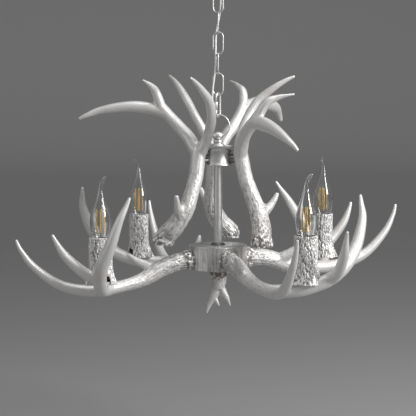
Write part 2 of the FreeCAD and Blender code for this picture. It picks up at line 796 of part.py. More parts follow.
# ---------------------------------------------------------------------------------------------------
# Stem, cap, rod and hub
# ---------------------------------------------------------------------------------------------------
def loop_stem():
    """Turned stem on the cap: foot, bead and ball, with a cross hole for the ring."""
    bead_bottom = d.stem_foot_height + d.bead_gap
    bore_end = d.tie_rod_in_stem + d.thread_end_gap
    body = turned("stem_turning", [
        (d.tie_rod_radius + d.fit_gap, 0),
        (d.stem_foot_radius, 0),
        (d.stem_foot_radius - d.stem_foot_taper, d.stem_foot_height),
        (d.bead_neck_radius, d.stem_foot_height),
        (d.bead_neck_radius, bead_bottom),
        Arc(d.bead_bulge, RIGHT),
        (d.bead_neck_radius, bead_bottom + d.bead_height),
        (d.neck_radius, d.ball_bottom),
        Arc(d.ball_bulge, RIGHT),
        (d.ball_top_radius, d.ball_top),
        (0, d.ball_top),
        (0, bore_end),
        (d.tie_rod_radius + d.fit_gap, bore_end),
    ])
    hole_length = d.ball_top * 2
    across = Placement(Vector(-float(hole_length) / 2, 0, 0), Rotation(Y_AXIS, 90))
    hole = primitive("Cylinder", "ball_hole", across, Radius=d.ball_hole_radius, Height=hole_length)
    lift(hole, d.ball_hole_height)
    lift(keep(less("loop_stem", body, hole), "loop_stem"), CAP_TOP)


def cap_turning():
    """The flared cap before it is drilled, its lower lip on its own origin."""
    inner = d.cap_waist_radius - d.cap_wall
    flare_foot = d.cap_height - d.cap_rim_height - d.cap_flare_height
    plate_bore = d.tie_rod_radius + d.fit_gap
    return turned("cap_turning", [
        (d.cap_lip_radius - d.cap_wall, 0),
        (d.cap_lip_radius, 0),
        (d.cap_waist_radius, d.cap_lip_height),
        (d.cap_waist_radius, flare_foot),
        Arc(d.cap_flare_hollow, LEFT),
        (d.cap_radius, flare_foot + d.cap_flare_height),
        (d.cap_radius, d.cap_height),
        (plate_bore, d.cap_height),
        (plate_bore, d.cap_height - d.cap_plate),
        (inner, d.cap_height - d.cap_plate),
        (inner, d.cap_lip_height),
    ])


def upper_screw_places():
    """Where the upper antlers' screws cross the cap's axis: one frame each, its X axis along the screw."""
    places = []
    for name in UPPER_NAMES:
        heading = float(getattr(d, f"upper_{name}_azimuth")) + float(d.upper_lead)
        for side in (-1, 1):
            height = float(UPPER_GRIP) + side * float(d.screw_spread)
            places.append(Placement(Vector(0, 0, height), Rotation(Z_AXIS, heading)))
    return places


def lower_screw_places():
    """Where the lower antlers' screws cross the hub's axis."""
    places = []
    for name in LOWER_NAMES:
        heading = float(getattr(d, f"{name}_azimuth"))
        for side in (-1, 1):
            height = float(HUB_TOP - d.arm_drop) + side * float(d.screw_spread)
            places.append(Placement(Vector(0, 0, height), Rotation(Z_AXIS, heading)))
    return places


def screw(name, wall_radius, thread_end):
    """A screw along +X: its head inside a round wall of that radius, its thread out to thread_end."""
    head_face = math.sqrt(float(wall_radius) ** 2 - float(d.screw_head_radius) ** 2) - float(d.fit_gap)
    lying = Rotation(Y_AXIS, 90)
    head_foot = Vector(head_face - float(d.screw_head_height), 0, 0)
    head = primitive("Cylinder", f"{name}_head", Placement(head_foot, lying),
                     Radius=d.screw_head_radius, Height=d.screw_head_height)
    shank = primitive("Cylinder", f"{name}_shank", Placement(head_foot, lying),
                      Radius=d.screw_radius)
    shank.Height = float(thread_end) - head_foot.x
    return joined(name, [head, shank])


def drill(name, radius, start, end):
    """A round cutter along +X from one distance to another."""
    lying = Placement(Vector(float(start), 0, 0), Rotation(Y_AXIS, 90))
    cutter = primitive("Cylinder", name, lying, Radius=radius)
    bind(cutter, Height=end - start)
    return cutter


def grommet(name, x, y, plate_bottom, plate):
    """Rubber grommet in a sheet, with the cord's bore."""
    lip_radius = d.grommet_radius + d.grommet_lip
    bore = d.cord_radius + d.fit_gap
    top = plate + d.grommet_flange * 2
    body = turned(name, [
        (bore, 0),
        (lip_radius, 0),
        (lip_radius, d.grommet_flange),
        (d.grommet_radius, d.grommet_flange),
        (d.grommet_radius, d.grommet_flange + plate),
        (lip_radius, d.grommet_flange + plate),
        (lip_radius, top),
        (bore, top),
    ])
    keep(body, name)
    body.Placement = Placement(Vector(float(x), float(y), 0), Rotation())
    lift(body, plate_bottom - d.grommet_flange)


def cap():
    """Flared cap with its screw holes and the cord's hole, its grommet, the spacers and the screws."""
    places = upper_screw_places()
    turning = cap_turning()
    lift(turning, CAP_BOTTOM)
    screw_hole = drill("cap_screw_hole", d.screw_radius + d.fit_gap, d.rod_radius, d.cap_radius + OVERRUN)
    spot = Vector(float(d.cap_grommet_x), float(d.cap_grommet_y), float(CAP_TOP - d.cap_plate) - OVERRUN)
    cord_hole = primitive("Cylinder", "cap_cord_hole", Placement(spot, Rotation()),
                          Radius=d.grommet_radius, Height=d.cap_plate + 2 * OVERRUN)
    drills = joined("cap_drills", [copies("cap_screw_holes", screw_hole, places), cord_hole])
    keep(less("flared_cap", turning, drills), "flared_cap")
    grommet("cap_grommet", d.cap_grommet_x, d.cap_grommet_y, CAP_TOP - d.cap_plate, d.cap_plate)

    post = drill("spacer_post", d.spacer_radius, d.rod_radius, PAD_RADIUS)
    bore = drill("spacer_bore", d.screw_radius + d.fit_gap, 0, PAD_RADIUS + OVERRUN)
    skirt = primitive("Cylinder", "spacer_saddle", Radius=d.cap_waist_radius + d.fit_gap,
                      Height=d.spacer_radius * 4)
    lift(skirt, -(d.spacer_radius * 2))
    spacer = less("spacer", less("spacer_tube", post, bore), skirt)
    row = less("cap_spacers", copies("spacer_row", spacer, places), turning)
    keep(row, "cap_spacers")
    inner = d.cap_waist_radius - d.cap_wall
    thread_end = PAD_RADIUS + d.screw_in_antler
    pattern = screw("upper_screw", inner, thread_end)
    keep(copies("upper_antler_screws", pattern, places), "upper_antler_screws")


def rod():
    """Centre tube with its washer, the tie rod inside it and the nuts that clamp the hub."""
    pipe = tube("centre_rod", d.rod_radius, d.rod_bore, d.rod_length)
    lift(keep(pipe, "centre_rod"), HUB_TOP)
    bore = d.rod_radius + d.fit_gap
    washer = turned("rod_washer", [
        (bore, 0),
        (d.rod_washer_radius, 0),
        (d.rod_washer_radius, d.rod_washer_edge),
        (d.rod_washer_shoulder, d.rod_washer_height),
        (bore, d.rod_washer_height),
    ])
    lift(keep(washer, "rod_washer"), HUB_TOP)
    bottom = HUB_BOTTOM - d.tie_rod_in_finial
    tie = primitive("Cylinder", "tie_rod", Radius=d.tie_rod_radius,
                    Height=CAP_TOP + d.tie_rod_in_stem - bottom)
    lift(keep(tie, "tie_rod"), bottom)
    thread = d.tie_rod_radius + d.fit_gap
    upper = hex_nut("hub_lid_nut", d.rod_nut_across, d.rod_nut_height, thread)
    lift(upper, HUB_TOP - d.hub_plate - d.rod_nut_height)
    lower = hex_nut("hub_bottom_nut", d.rod_nut_across, d.rod_nut_height, thread)
    lift(lower, HUB_BOTTOM + d.hub_plate)
    pair = doc.addObject("Part::Compound", "tie_rod_nuts")
    pair.Links = [upper, lower]
    keep(pair, "tie_rod_nuts")


def hub():
    """Drum hub: wall, lid and domed bottom, and the screws of the lower antlers."""
    rim = d.hub_dome + d.hub_edge
    places = lower_screw_places()
    wall = tube("hub_wall_blank", d.hub_radius, d.hub_radius - d.hub_wall, d.hub_shell_height)
    lift(wall, HUB_BOTTOM + rim)
    hole = drill("hub_screw_hole", d.screw_radius + d.fit_gap, d.hub_radius * 0.5, d.hub_radius + OVERRUN)
    keep(less("hub_shell", wall, copies("hub_screw_holes", hole, places)), "hub_shell")
    inside = d.hub_radius - d.hub_wall - d.fit_gap
    lip = inside - d.hub_register_wall
    bore = d.tie_rod_radius + d.fit_gap
    lid = turned("hub_lid", [
        (bore, d.hub_register),
        (lip, d.hub_register),
        (lip, 0),
        (inside, 0),
        (inside, d.hub_register),
        (d.hub_radius, d.hub_register),
        (d.hub_radius, d.hub_register + d.hub_plate),
        (bore, d.hub_register + d.hub_plate),
    ])
    lift(keep(lid, "hub_lid"), HUB_TOP - d.hub_plate - d.hub_register)
    bottom = turned("hub_bottom", [
        (bore, 0),
        (d.hub_dome_flat, 0),
        Arc(d.hub_dome_bulge, RIGHT),
        (d.hub_radius, d.hub_dome),
        (d.hub_radius, rim),
        (inside, rim),
        (inside, rim + d.hub_register),
        (lip, rim + d.hub_register),
        (lip, rim),
        (d.hub_dome_flat, d.hub_plate),
        (bore, d.hub_plate),
    ])
    lift(keep(bottom, "hub_bottom"), HUB_BOTTOM)
    inner = d.hub_radius - d.hub_wall
    pattern = screw("lower_screw", inner, d.hub_radius + d.screw_in_antler)
    keep(copies("lower_antler_screws", pattern, places), "lower_antler_screws")


# ---------------------------------------------------------------------------------------------------
# Antlers
# ---------------------------------------------------------------------------------------------------
def lower_antler_place(name):
    """A lower antler's frame: root on the hub's wall, X outwards."""
    azimuth = Rotation(Z_AXIS, float(getattr(d, f"{name}_azimuth")))
    tilt = Rotation(Y_AXIS, -float(getattr(d, f"{name}_tilt")))
    roll = Rotation(X_AXIS, float(getattr(d, f"{name}_roll")))
    root = azimuth.multVec(Vector(float(d.hub_radius), 0, 0))
    root.z = float(HUB_TOP - d.arm_drop)
    return Placement(root, azimuth.multiply(roll).multiply(tilt))


def candle_seat(name):
    """The middle of a candle's seat on its antler."""
    spot = Vector(float(d.seat_out), float(d.seat_side), float(d.seat_up))
    return lower_antler_place(name).multVec(spot)


def drilled(shape, pattern, places):
    """A casting with the same round cut at several places."""
    doc.recompute()
    cutters = []
    for place in places:
        cutter = pattern.Shape.copy()
        cutter.Placement = place.multiply(cutter.Placement)
        cutters.append(cutter)
    return shape.cut(cutters)


def lower_antlers():
    """Four lower antlers of one casting, each seated on the hub, drilled, and flat under its candle."""
    seat = [float(d.seat_out), float(d.seat_side), float(d.seat_up)]
    side_beam = [LOWER_SIDE_ROOT, *shifted(LOWER_SIDE_BEAM, *seat)]
    branches = [LOWER_BEAM, LOWER_END_TINE, side_beam, shifted(LOWER_MID_TINE, *seat), LOWER_SPUR]
    blank = casting(branches)
    thread = drill("lower_thread", d.screw_radius + d.fit_gap, d.hub_radius * 0.5,
                   d.hub_radius + d.screw_in_antler + d.fit_gap)
    hub_height = float(HUB_TOP - HUB_BOTTOM)
    drum_foot = Vector(0, 0, float(HUB_BOTTOM) - hub_height / 2)
    drum = Part.makeCylinder(float(d.hub_radius + d.fit_gap), 2 * hub_height, drum_foot)
    foot = float(d.sleeve_foot_radius + d.seat_clearance)
    bore = float(d.candle_nipple_radius + d.fit_gap)
    depth = float(d.candle_nipple_depth)
    for name in LOWER_NAMES:
        shape = blank.copy()
        shape.Placement = lower_antler_place(name)
        seat_middle = candle_seat(name)
        flat = Part.makeCylinder(foot, float(d.sleeve_height), seat_middle)
        hole = Part.makeCylinder(bore, depth + OVERRUN, seat_middle - Z_AXIS * depth)
        shape = shape.cut([drum, flat, hole])
        shape = drilled(shape, thread, lower_screw_places())
        keep(feature(f"lower_antler_{name}", shape.Solids[0]), f"lower_antler_{name}")


def upper_antler_place(name):
    """An upper antler's frame: the middle of its trunk where the cap holds it."""
    azimuth = Rotation(Z_AXIS, float(getattr(d, f"upper_{name}_azimuth")))
    lead = Rotation(Z_AXIS, float(d.upper_lead))
    grip_distance = float(PAD_RADIUS + d.upper_grip_radius - d.pad_depth)
    spot = azimuth.multiply(lead).multVec(Vector(grip_distance, 0, 0))
    spot.z = float(UPPER_GRIP)
    return Placement(spot, azimuth)


def upper_antlers():
    """Three upper antlers, each with its crown drooped as it hangs, flat and drilled at the cap."""
    pad = drill("upper_pad", d.spacer_radius + d.pad_gap, d.cap_waist_radius * 0.5, PAD_RADIUS)
    thread = drill("upper_thread", d.screw_radius + d.fit_gap, d.cap_waist_radius * 0.5,
                   PAD_RADIUS + d.screw_in_antler + d.fit_gap)
    for name in UPPER_NAMES:
        droop = float(getattr(d, f"upper_{name}_droop"))
        crown = [drooped(points, droop) for points in (UPPER_CROWN, UPPER_TIP_TINE, UPPER_SWEEP_TINE)]
        shape = casting([UPPER_TRUNK, *crown, UPPER_INNER_TINE, UPPER_SPUR])
        shape.Placement = upper_antler_place(name)
        shape = drilled(shape, pad, upper_screw_places())
        shape = drilled(shape, thread, upper_screw_places())
        keep(feature(f"upper_antler_{name}", shape.Solids[0]), f"upper_antler_{name}")


def finial_antler():
    """Small antler tip under the hub, flat on top and threaded onto the tie rod."""
    shape = casting([FINIAL_TRUNK, FINIAL_LEFT_TINE, FINIAL_SHORT_TINE, FINIAL_RIGHT_TINE])
    half = float(d.hub_radius)
    above = Part.makeBox(2 * half, 2 * half, half, Vector(-half, -half, 0))
    depth = float(d.tie_rod_in_finial + d.fit_gap)
    thread = Part.makeCylinder(float(d.tie_rod_radius + d.fit_gap), depth + OVERRUN, Vector(0, 0, -depth))
    shape = shape.cut([above, thread])
    finial = keep(feature("finial_antler", shape.Solids[0]), "finial_antler")
    lift(finial, HUB_BOTTOM)


# ---------------------------------------------------------------------------------------------------
# Candles
# ---------------------------------------------------------------------------------------------------
def candle_sleeve(name, seat):
    """Bark sleeve on a flared foot, with an arched opening at one side of the foot."""
    turning = turned(f"sleeve_turning_{name}", [
        Arc(d.sleeve_flare_hollow, RIGHT),
        (d.sleeve_foot_radius - d.sleeve_foot_wall, 0),
        (d.sleeve_foot_radius, 0),
        Arc(d.sleeve_flare_hollow, LEFT),
        (d.sleeve_radius, d.sleeve_flare_height),
        (d.sleeve_radius, d.sleeve_height),
        (d.sleeve_bore, d.sleeve_height),
        (d.sleeve_bore, d.sleeve_bore_foot),
    ])
    heading = float(getattr(d, f"{name}_azimuth")) + float(d.arch_heading)
    turn = Rotation(Z_AXIS, heading)
    reach = d.sleeve_foot_radius + OVERRUN
    across = Rotation(Y_AXIS, 90)
    vault = primitive("Cylinder", f"arch_vault_{name}", Placement(Vector(), turn.multiply(across)),
                      Radius=d.arch_radius, Height=reach)
    lift(vault, d.arch_rise)
    corner = turn.multVec(Vector(0, -float(d.arch_radius), 0))
    corner.z = -OVERRUN
    door = primitive("Box", f"arch_door_{name}", Placement(corner, turn),
                     Length=reach, Width=d.arch_radius * 2, Height=d.arch_rise + OVERRUN)
    sleeve = less(f"candle_sleeve_{name}", turning, joined(f"arch_{name}", [vault, door]))
    keep(sleeve, f"candle_sleeve_{name}")
    sleeve.Placement = Placement(seat, Rotation())


def lamp_holder(name, seat):
    """Lamp holder inside the sleeve, threaded for the bulb above and for its tube below."""
    collar_foot = d.glass_drop + d.bulb_running_gap + d.bulb_collar_height
    height = d.sleeve_height - collar_foot - d.bulb_running_gap - d.pan_sheet
    thread = d.bulb_cap_radius + d.bulb_cap_play
    floor = height - d.bulb_cap_length
    tube_bore = d.candle_nipple_radius + d.fit_gap
    tube_depth = d.candle_nipple_rise - d.pan_sheet + d.bulb_running_gap
    body = turned(f"lamp_holder_{name}", [
        (tube_bore, 0),
        (d.holder_radius, 0),
        (d.holder_radius, height),
        (thread, height),
        (thread, floor),
        (0, floor),
        (0, tube_depth),
        (tube_bore, tube_depth),
    ])
    keep(body, f"lamp_holder_{name}")
    body.Placement = Placement(seat + Z_AXIS * float(d.pan_sheet), Rotation())


def bulb_base(name, glass_foot):
    """Screw cap of a bulb, with its contact below and the collar that holds the glass."""
    height = d.bulb_cap_length + d.bulb_collar_height
    body = turned(f"bulb_base_{name}", [
        (0, 0),
        (d.bulb_contact_radius, 0),
        (d.bulb_cap_radius, d.bulb_contact_height),
        (d.bulb_cap_radius, d.bulb_cap_length),
        (d.bulb_collar_radius, d.bulb_cap_length),
        (d.bulb_collar_radius, height),
        (0, height),
    ])
    keep(body, f"bulb_base_{name}")
    body.Placement = Placement(glass_foot - Z_AXIS * float(height + d.bulb_running_gap), Rotation())


def bulb_glass(name, place):
    """Hollow glass of a bulb with its bent tip."""
    wall = float(d.glass_wall)
    inner = [(*row[:3], row[3] - wall) for row in GLASS[:-GLASS_TIP_POINTS]]
    shell = branch(GLASS).cut(branch(inner))
    glass = keep(feature(f"bulb_glass_{name}", shell.Solids[0]), f"bulb_glass_{name}")
    glass.Placement = place


def bulb_filaments(name, place):
    """Glass stem with two plates and the filaments between them."""
    disc = primitive("Cylinder", f"stem_disc_{name}", Radius=d.stem_disc_radius, Height=d.stem_disc_height)
    stem = primitive("Cylinder", f"stem_{name}", Radius=d.stem_radius, Height=d.filament_top)
    pieces = [disc, stem]
    for height in (d.filament_bottom - d.spider_height, d.filament_top):
        plate = primitive("Cylinder", f"spider_{name}", Height=d.spider_height,
                          Radius=d.filament_offset + d.filament_radius + d.spider_margin)
        lift(plate, height)
        pieces.append(plate)
    low = d.filament_bottom - d.spider_height * 0.5
    high = d.filament_top + d.spider_height * 0.5
    for quarter in range(4):
        spot = Rotation(Z_AXIS, 90 * quarter).multVec(Vector(float(d.filament_offset), 0, 0))
        wire = primitive("Cylinder", f"filament_{name}", Placement(spot, Rotation()),
                         Radius=d.filament_radius, Height=high - low)
        lift(wire, low)
        pieces.append(wire)
    stack = keep(joined(f"bulb_filaments_{name}", pieces), f"bulb_filaments_{name}")
    stack.Placement = place


def candles():
    """Pan, threaded tube, lamp holder, sleeve and bulb on each lower antler."""
    seats = {name: candle_seat(name) for name in LOWER_NAMES}
    standing = [Placement(seat, Rotation()) for seat in seats.values()]
    bore = d.candle_nipple_radius + d.fit_gap
    pan = turned("pan_pattern", [
        (bore, 0),
        (d.pan_radius, 0),
        (d.pan_radius, d.pan_height),
        (d.pan_radius - d.pan_sheet, d.pan_height),
        (d.pan_radius - d.pan_sheet, d.pan_sheet),
        (bore, d.pan_sheet),
    ])
    keep(copies("candle_pans", pan, standing), "candle_pans")
    tube_length = d.candle_nipple_depth + d.candle_nipple_rise
    thread = tube("candle_tube_pattern", d.candle_nipple_radius, d.candle_nipple_bore, tube_length)
    lift(thread, -d.candle_nipple_depth)
    keep(copies("candle_nipples", thread, standing), "candle_nipples")
    for name, seat in seats.items():
        candle_sleeve(name, seat)
        lamp_holder(name, seat)
        glass_foot = seat + Z_AXIS * float(d.sleeve_height - d.glass_drop)
        place = Placement(glass_foot, Rotation(Z_AXIS, float(getattr(d, f"{name}_tip_heading"))))
        bulb_base(name, glass_foot)
        bulb_glass(name, place)
        bulb_filaments(name, place)


# ---------------------------------------------------------------------------------------------------
# Cord
# ---------------------------------------------------------------------------------------------------
ARC_SHARE = 0.45


def cord():
    """Power cord: straight runs joined by tangent arcs, swept as one tube."""
    spots = [Vector(x, y, z + float(HUB_TOP)) for x, y, z in CORD]
    radius = float(d.cord_radius)
    edges = []
    start = spots[0]
    radii = []
    for before, corner, after in zip(spots, spots[1:], spots[2:]):
        back = before - corner
        onward = after - corner
        shorter = min(back.Length, onward.Length)
        back.normalize()
        onward.normalize()
        half_turn = (math.pi - back.getAngle(onward)) / 2
        reach = ARC_SHARE * shorter
        radii.append(reach / math.tan(half_turn))
        inwards = back + onward
        inwards.normalize()
        sagitta = radii[-1] * (1 / math.cos(half_turn) - 1)
        into = corner + back * reach
        out = corner + onward * reach
        edges.append(Part.LineSegment(start, into).toShape())
        edges.append(Part.Arc(into, corner + inwards * sagitta, out).toShape())
        start = out
    edges.append(Part.LineSegment(start, spots[-1]).toShape())
    path = Part.Wire(edges)
    circle = Part.Wire(Part.makeCircle(radius, spots[0], spots[1] - spots[0]))
    shape = path.makePipeShell([circle], True, False)
    keep(feature("power_cord", shape.Solids[0]), "power_cord")
    section = math.pi * radius**2
    print(f"cord: length {path.Length:.1f}, volume by length {shape.Volume / (section * path.Length):.4f}")
    print("cord radii:", " ".join(f"{value:.0f}" for value in radii))


# ---------------------------------------------------------------------------------------------------
# Checks and files
# ---------------------------------------------------------------------------------------------------
def check():
    """Stops unless every object is sound and every sub-part has a valid shape."""
    doc.recompute()
    for thing in doc.Objects:
        if "Invalid" in thing.State or "Error" in thing.State:
            raise RuntimeError(f"{thing.Label} failed: {thing.State}")
    labels = [thing.Label for thing in nodes]
    if len(set(labels)) != len(labels):
        raise RuntimeError("two sub-parts have one label")
    for thing in nodes:
        shape = thing.Shape
        if shape.isNull() or not shape.isValid() or not shape.Solids:
            raise RuntimeError(f"{thing.Label} has no valid shape")


def write():
    """Writes each sub-part to a file of its own."""
    os.makedirs("parts", exist_ok=True)
    for thing in nodes:
        thing.Shape.exportStep(f"parts/{thing.Label}.step")
    print(len(nodes), "sub-parts written")


LOWER_NAMES = ("left", "front", "right", "rear")
UPPER_NAMES = ("left", "right", "rear")

fill_sheet()

CANOPY_RADIUS = d.bracket_length * 0.5 + d.bracket_end_gap + d.canopy_wall

# Heights down the chain: a hanging wire lies under the wire that carries it.
NECK_BOTTOM = -(d.canopy_depth + d.collar_height + d.loop_neck_length)
LOOP_MIDDLE = NECK_BOTTOM - d.loop_radius + d.loop_wire + d.loop_sink
FIRST_LINK_TOP = LOOP_MIDDLE - d.loop_radius + d.loop_wire + d.link_wire + d.hang_gap
LINK_PITCH = d.link_length - d.link_wire * 2 - d.hang_gap
CHAIN_BOTTOM = FIRST_LINK_TOP - d.link_length - LINK_PITCH * (d.link_count - 1)
QUICK_LINK_TOP = CHAIN_BOTTOM + d.link_wire + d.quick_wire + d.hang_gap
QUICK_LINK_BOTTOM = QUICK_LINK_TOP - d.quick_length
QUICK_LINK_MIDDLE = QUICK_LINK_TOP - d.quick_length * 0.5
RING_MIDDLE = QUICK_LINK_BOTTOM + d.quick_wire + d.ring_wire + d.hang_gap - d.ring_radius
BALL_HOLE = RING_MIDDLE - d.ring_radius + d.ring_hole_offset
CAP_TOP = BALL_HOLE - d.ball_hole_height
CAP_BOTTOM = CAP_TOP - d.cap_height
HUB_TOP = CAP_TOP - d.cap_plate - d.rod_length
HUB_BOTTOM = HUB_TOP - d.hub_plate - d.hub_shell_height - d.hub_edge - d.hub_dome
UPPER_GRIP = CAP_BOTTOM + d.upper_grip_height
PAD_RADIUS = d.cap_waist_radius + d.spacer_length

ceiling_group()
grommet("canopy_grommet", d.canopy_grommet_x, d.canopy_grommet_y, -d.canopy_depth, d.canopy_wall)
chain()
quick_link()
fixture_ring()
loop_stem()
cap()
rod()
hub()
lower_antlers()
upper_antlers()
finial_antler()
candles()
cord()
check()
write()
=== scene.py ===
"""Looks of the antler chandelier: silver antlers, bark candle sleeves, clear bulbs, satin metal and chain.

Lengths in the dataclasses are in millimetres, except where metres are named, and become metres where a mesh is
made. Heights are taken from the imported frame, whose origin is the middle of the ceiling face, with Z up.
"""

from __future__ import annotations

import json
import logging
import math
from dataclasses import dataclass, field
from enum import Enum
from typing import Callable, Iterable, Sequence

import bmesh
import bpy
from mathutils import Matrix, Vector

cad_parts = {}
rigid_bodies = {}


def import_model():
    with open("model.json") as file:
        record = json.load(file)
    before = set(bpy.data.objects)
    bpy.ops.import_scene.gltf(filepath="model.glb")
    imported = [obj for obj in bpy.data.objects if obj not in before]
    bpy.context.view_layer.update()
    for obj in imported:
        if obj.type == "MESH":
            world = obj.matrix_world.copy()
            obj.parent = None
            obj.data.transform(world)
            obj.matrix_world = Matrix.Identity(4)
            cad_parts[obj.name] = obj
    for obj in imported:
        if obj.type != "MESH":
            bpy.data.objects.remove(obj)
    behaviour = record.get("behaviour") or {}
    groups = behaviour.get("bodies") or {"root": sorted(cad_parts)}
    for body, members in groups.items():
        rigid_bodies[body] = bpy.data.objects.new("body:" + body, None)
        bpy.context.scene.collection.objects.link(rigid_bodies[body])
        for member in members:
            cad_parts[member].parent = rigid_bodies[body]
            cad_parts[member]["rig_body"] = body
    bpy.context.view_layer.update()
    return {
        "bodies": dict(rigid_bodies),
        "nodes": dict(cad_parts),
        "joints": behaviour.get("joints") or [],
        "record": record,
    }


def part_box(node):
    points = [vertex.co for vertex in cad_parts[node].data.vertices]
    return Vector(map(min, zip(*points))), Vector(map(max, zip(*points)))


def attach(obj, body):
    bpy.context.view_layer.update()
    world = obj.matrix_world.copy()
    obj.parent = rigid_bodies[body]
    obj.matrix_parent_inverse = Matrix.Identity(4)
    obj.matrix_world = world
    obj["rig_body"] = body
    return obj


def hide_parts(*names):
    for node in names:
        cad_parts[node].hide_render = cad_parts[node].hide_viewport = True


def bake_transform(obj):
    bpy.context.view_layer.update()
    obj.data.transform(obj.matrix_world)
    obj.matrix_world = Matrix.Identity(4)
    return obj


LOG = logging.getLogger("antler_chandelier")
MM = 0.001

Colour = tuple[float, float, float]
Row = tuple[float, float, float, float]
Ring = list[bmesh.types.BMVert]
Socket = bpy.types.NodeSocket
NodeGroup = bpy.types.NodeTree
Thing = bpy.types.Object


def opaque(colour: Colour) -> tuple[float, float, float, float]:
    """The colour with full alpha."""
    return (*colour, 1.0)


# ---------------------------------------------------------------------------------------------------
# Node trees
# ---------------------------------------------------------------------------------------------------
@dataclass(frozen=True)
class Grain:
    """Scale per metre, detail and roughness of a noise pattern."""

    scale: float
    detail: float
    roughness: float


@dataclass(frozen=True)
class Ramp:
    """A smooth map of low..high to start..end, held at both ends."""

    low: float
    high: float
    start: float = 0.0
    end: float = 1.0


class Tree:
    """A node tree under construction, with short ways to add and join its nodes."""

    def __init__(self, nodes: NodeGroup) -> None:
        """Wraps the shader or geometry node tree that is filled."""
        self.nodes = nodes

    def add(self, kind: str, inputs: dict[object, object] | None = None, **settings: object) -> bpy.types.Node:
        """Adds a node.

        Args:
            kind: the node's type name.
            inputs: values or sockets for its inputs, by name or number.
            settings: the node's own properties.

        Returns:
            The new node.
        """
        node = self.nodes.nodes.new(kind)
        for name, value in settings.items():
            setattr(node, name, value)
        for key, value in (inputs or {}).items():
            self.feed(node.inputs[key], value)
        return node

    def feed(self, socket: Socket, value: object) -> None:
        """Links a socket to another one, or sets its plain value.

        Args:
            socket: the input that is fed.
            value: another node's output, or a plain value.
        """
        if isinstance(value, Socket):
            self.nodes.links.new(value, socket)
        else:
            socket.default_value = value

    def math(self, operation: str, *terms: object) -> Socket:
        """A math node's result for one or two terms."""
        return self.add("ShaderNodeMath", dict(enumerate(terms)), operation=operation).outputs[0]

    def plus(self, first: object, second: object) -> Socket:
        """The sum of two numbers."""
        return self.math("ADD", first, second)

    def minus(self, first: object, second: object) -> Socket:
        """The first number less the second."""
        return self.math("SUBTRACT", first, second)

    def times(self, first: object, second: object) -> Socket:
        """The product of two numbers."""
        return self.math("MULTIPLY", first, second)

    def vector(self, operation: str, *terms: object) -> Socket:
        """A vector math node's result: its number for a dot product, else its vector."""
        node = self.add("ShaderNodeVectorMath", dict(enumerate(terms)), operation=operation)
        return node.outputs["Value" if operation == "DOT_PRODUCT" else "Vector"]

    def scaled(self, vector: object, factor: object) -> Socket:
        """A vector times a number."""
        node = self.add("ShaderNodeVectorMath", {0: vector, "Scale": factor}, operation="SCALE")
        return node.outputs["Vector"]

    def combine(self, x: object, y: object, z: object) -> Socket:
        """A vector from three numbers."""
        return self.add("ShaderNodeCombineXYZ", {0: x, 1: y, 2: z}).outputs[0]

    def remap(self, value: object, ramp: Ramp) -> Socket:
        """A number mapped by a ramp."""
        return self.add("ShaderNodeMapRange", {0: value, 1: ramp.low, 2: ramp.high, 3: ramp.start, 4: ramp.end},
                        interpolation_type="SMOOTHSTEP").outputs[0]

    def noise(self, vector: object, grain: Grain) -> Socket:
        """The grey value of a noise pattern at a place."""
        return self.add("ShaderNodeTexNoise", {"Vector": vector, "Scale": grain.scale, "Detail": grain.detail,
                                               "Roughness": grain.roughness}).outputs[0]

    def swing(self, vector: object, grain: Grain) -> Socket:
        """A noise pattern that goes as far below zero as above it."""
        return self.minus(self.noise(vector, grain), 0.5)

    def blend(self, factor: object, first: object, second: object) -> Socket:
        """A mix of two colours.

        Args:
            factor: the second colour's share.
            first: the first colour.
            second: the second colour.

        Returns:
            The mixed colour.
        """
        node = self.add("ShaderNodeMix", data_type="RGBA")
        for socket, value in ((node.inputs[0], factor), (node.inputs[6], first), (node.inputs[7], second)):
            self.feed(socket, value)
        return node.outputs[2]

    def named(self, name: str, kind: str) -> Socket:
        """A named attribute of the mesh, in a geometry tree."""
        return self.add("GeometryNodeInputNamedAttribute", {"Name": name}, data_type=kind).outputs[0]

    def stored(self, geometry: Socket, name: str, value: Socket, kind: str = "FLOAT") -> Socket:
        """A mesh with a named value stored at each vertex, in a geometry tree."""
        return self.add("GeometryNodeStoreNamedAttribute", {"Geometry": geometry, "Name": name, "Value": value},
                        data_type=kind, domain="POINT").outputs[0]

    def close(self, geometry: Socket, material: Socket) -> NodeGroup:
        """Ends a geometry tree with smooth shading, real instances, the material and the output.

        Args:
            geometry: the finished geometry.
            material: the material's input.

        Returns:
            The node group.
        """
        for kind, given in (("SetShadeSmooth", {"Shade Smooth": True}), ("RealizeInstances", {}),
                            ("SetMaterial", {"Material": material})):
            geometry = self.add(f"GeometryNode{kind}", {"Geometry": geometry, **given}).outputs[0]
        self.add("NodeGroupOutput", {"Geometry": geometry})
        return self.nodes


def new_tree(name: str, kind: str, inputs: dict[str, str],
             outputs: dict[str, str]) -> tuple[Tree, bpy.types.bpy_prop_collection]:
    """Starts a node group.

    Args:
        name: the group's name.
        kind: Shader or Geometry.
        inputs: the kind of each input, by name.
        outputs: the kind of each output, by name.

    Returns:
        The tree under construction, and the sockets that give its inputs.
    """
    group = bpy.data.node_groups.new(name, f"{kind}NodeTree")
    for way, sockets in (("INPUT", inputs), ("OUTPUT", outputs)):
        for socket, sort in sockets.items():
            group.interface.new_socket(socket, in_out=way, socket_type=f"NodeSocket{sort}")
    tree = Tree(group)
    return tree, tree.add("NodeGroupInput").outputs


SURFACE_OUTPUTS = {"Color": "Color", "Roughness": "Float", "Height": "Float"}
MESH_OUTPUT = {"Geometry": "Geometry"}


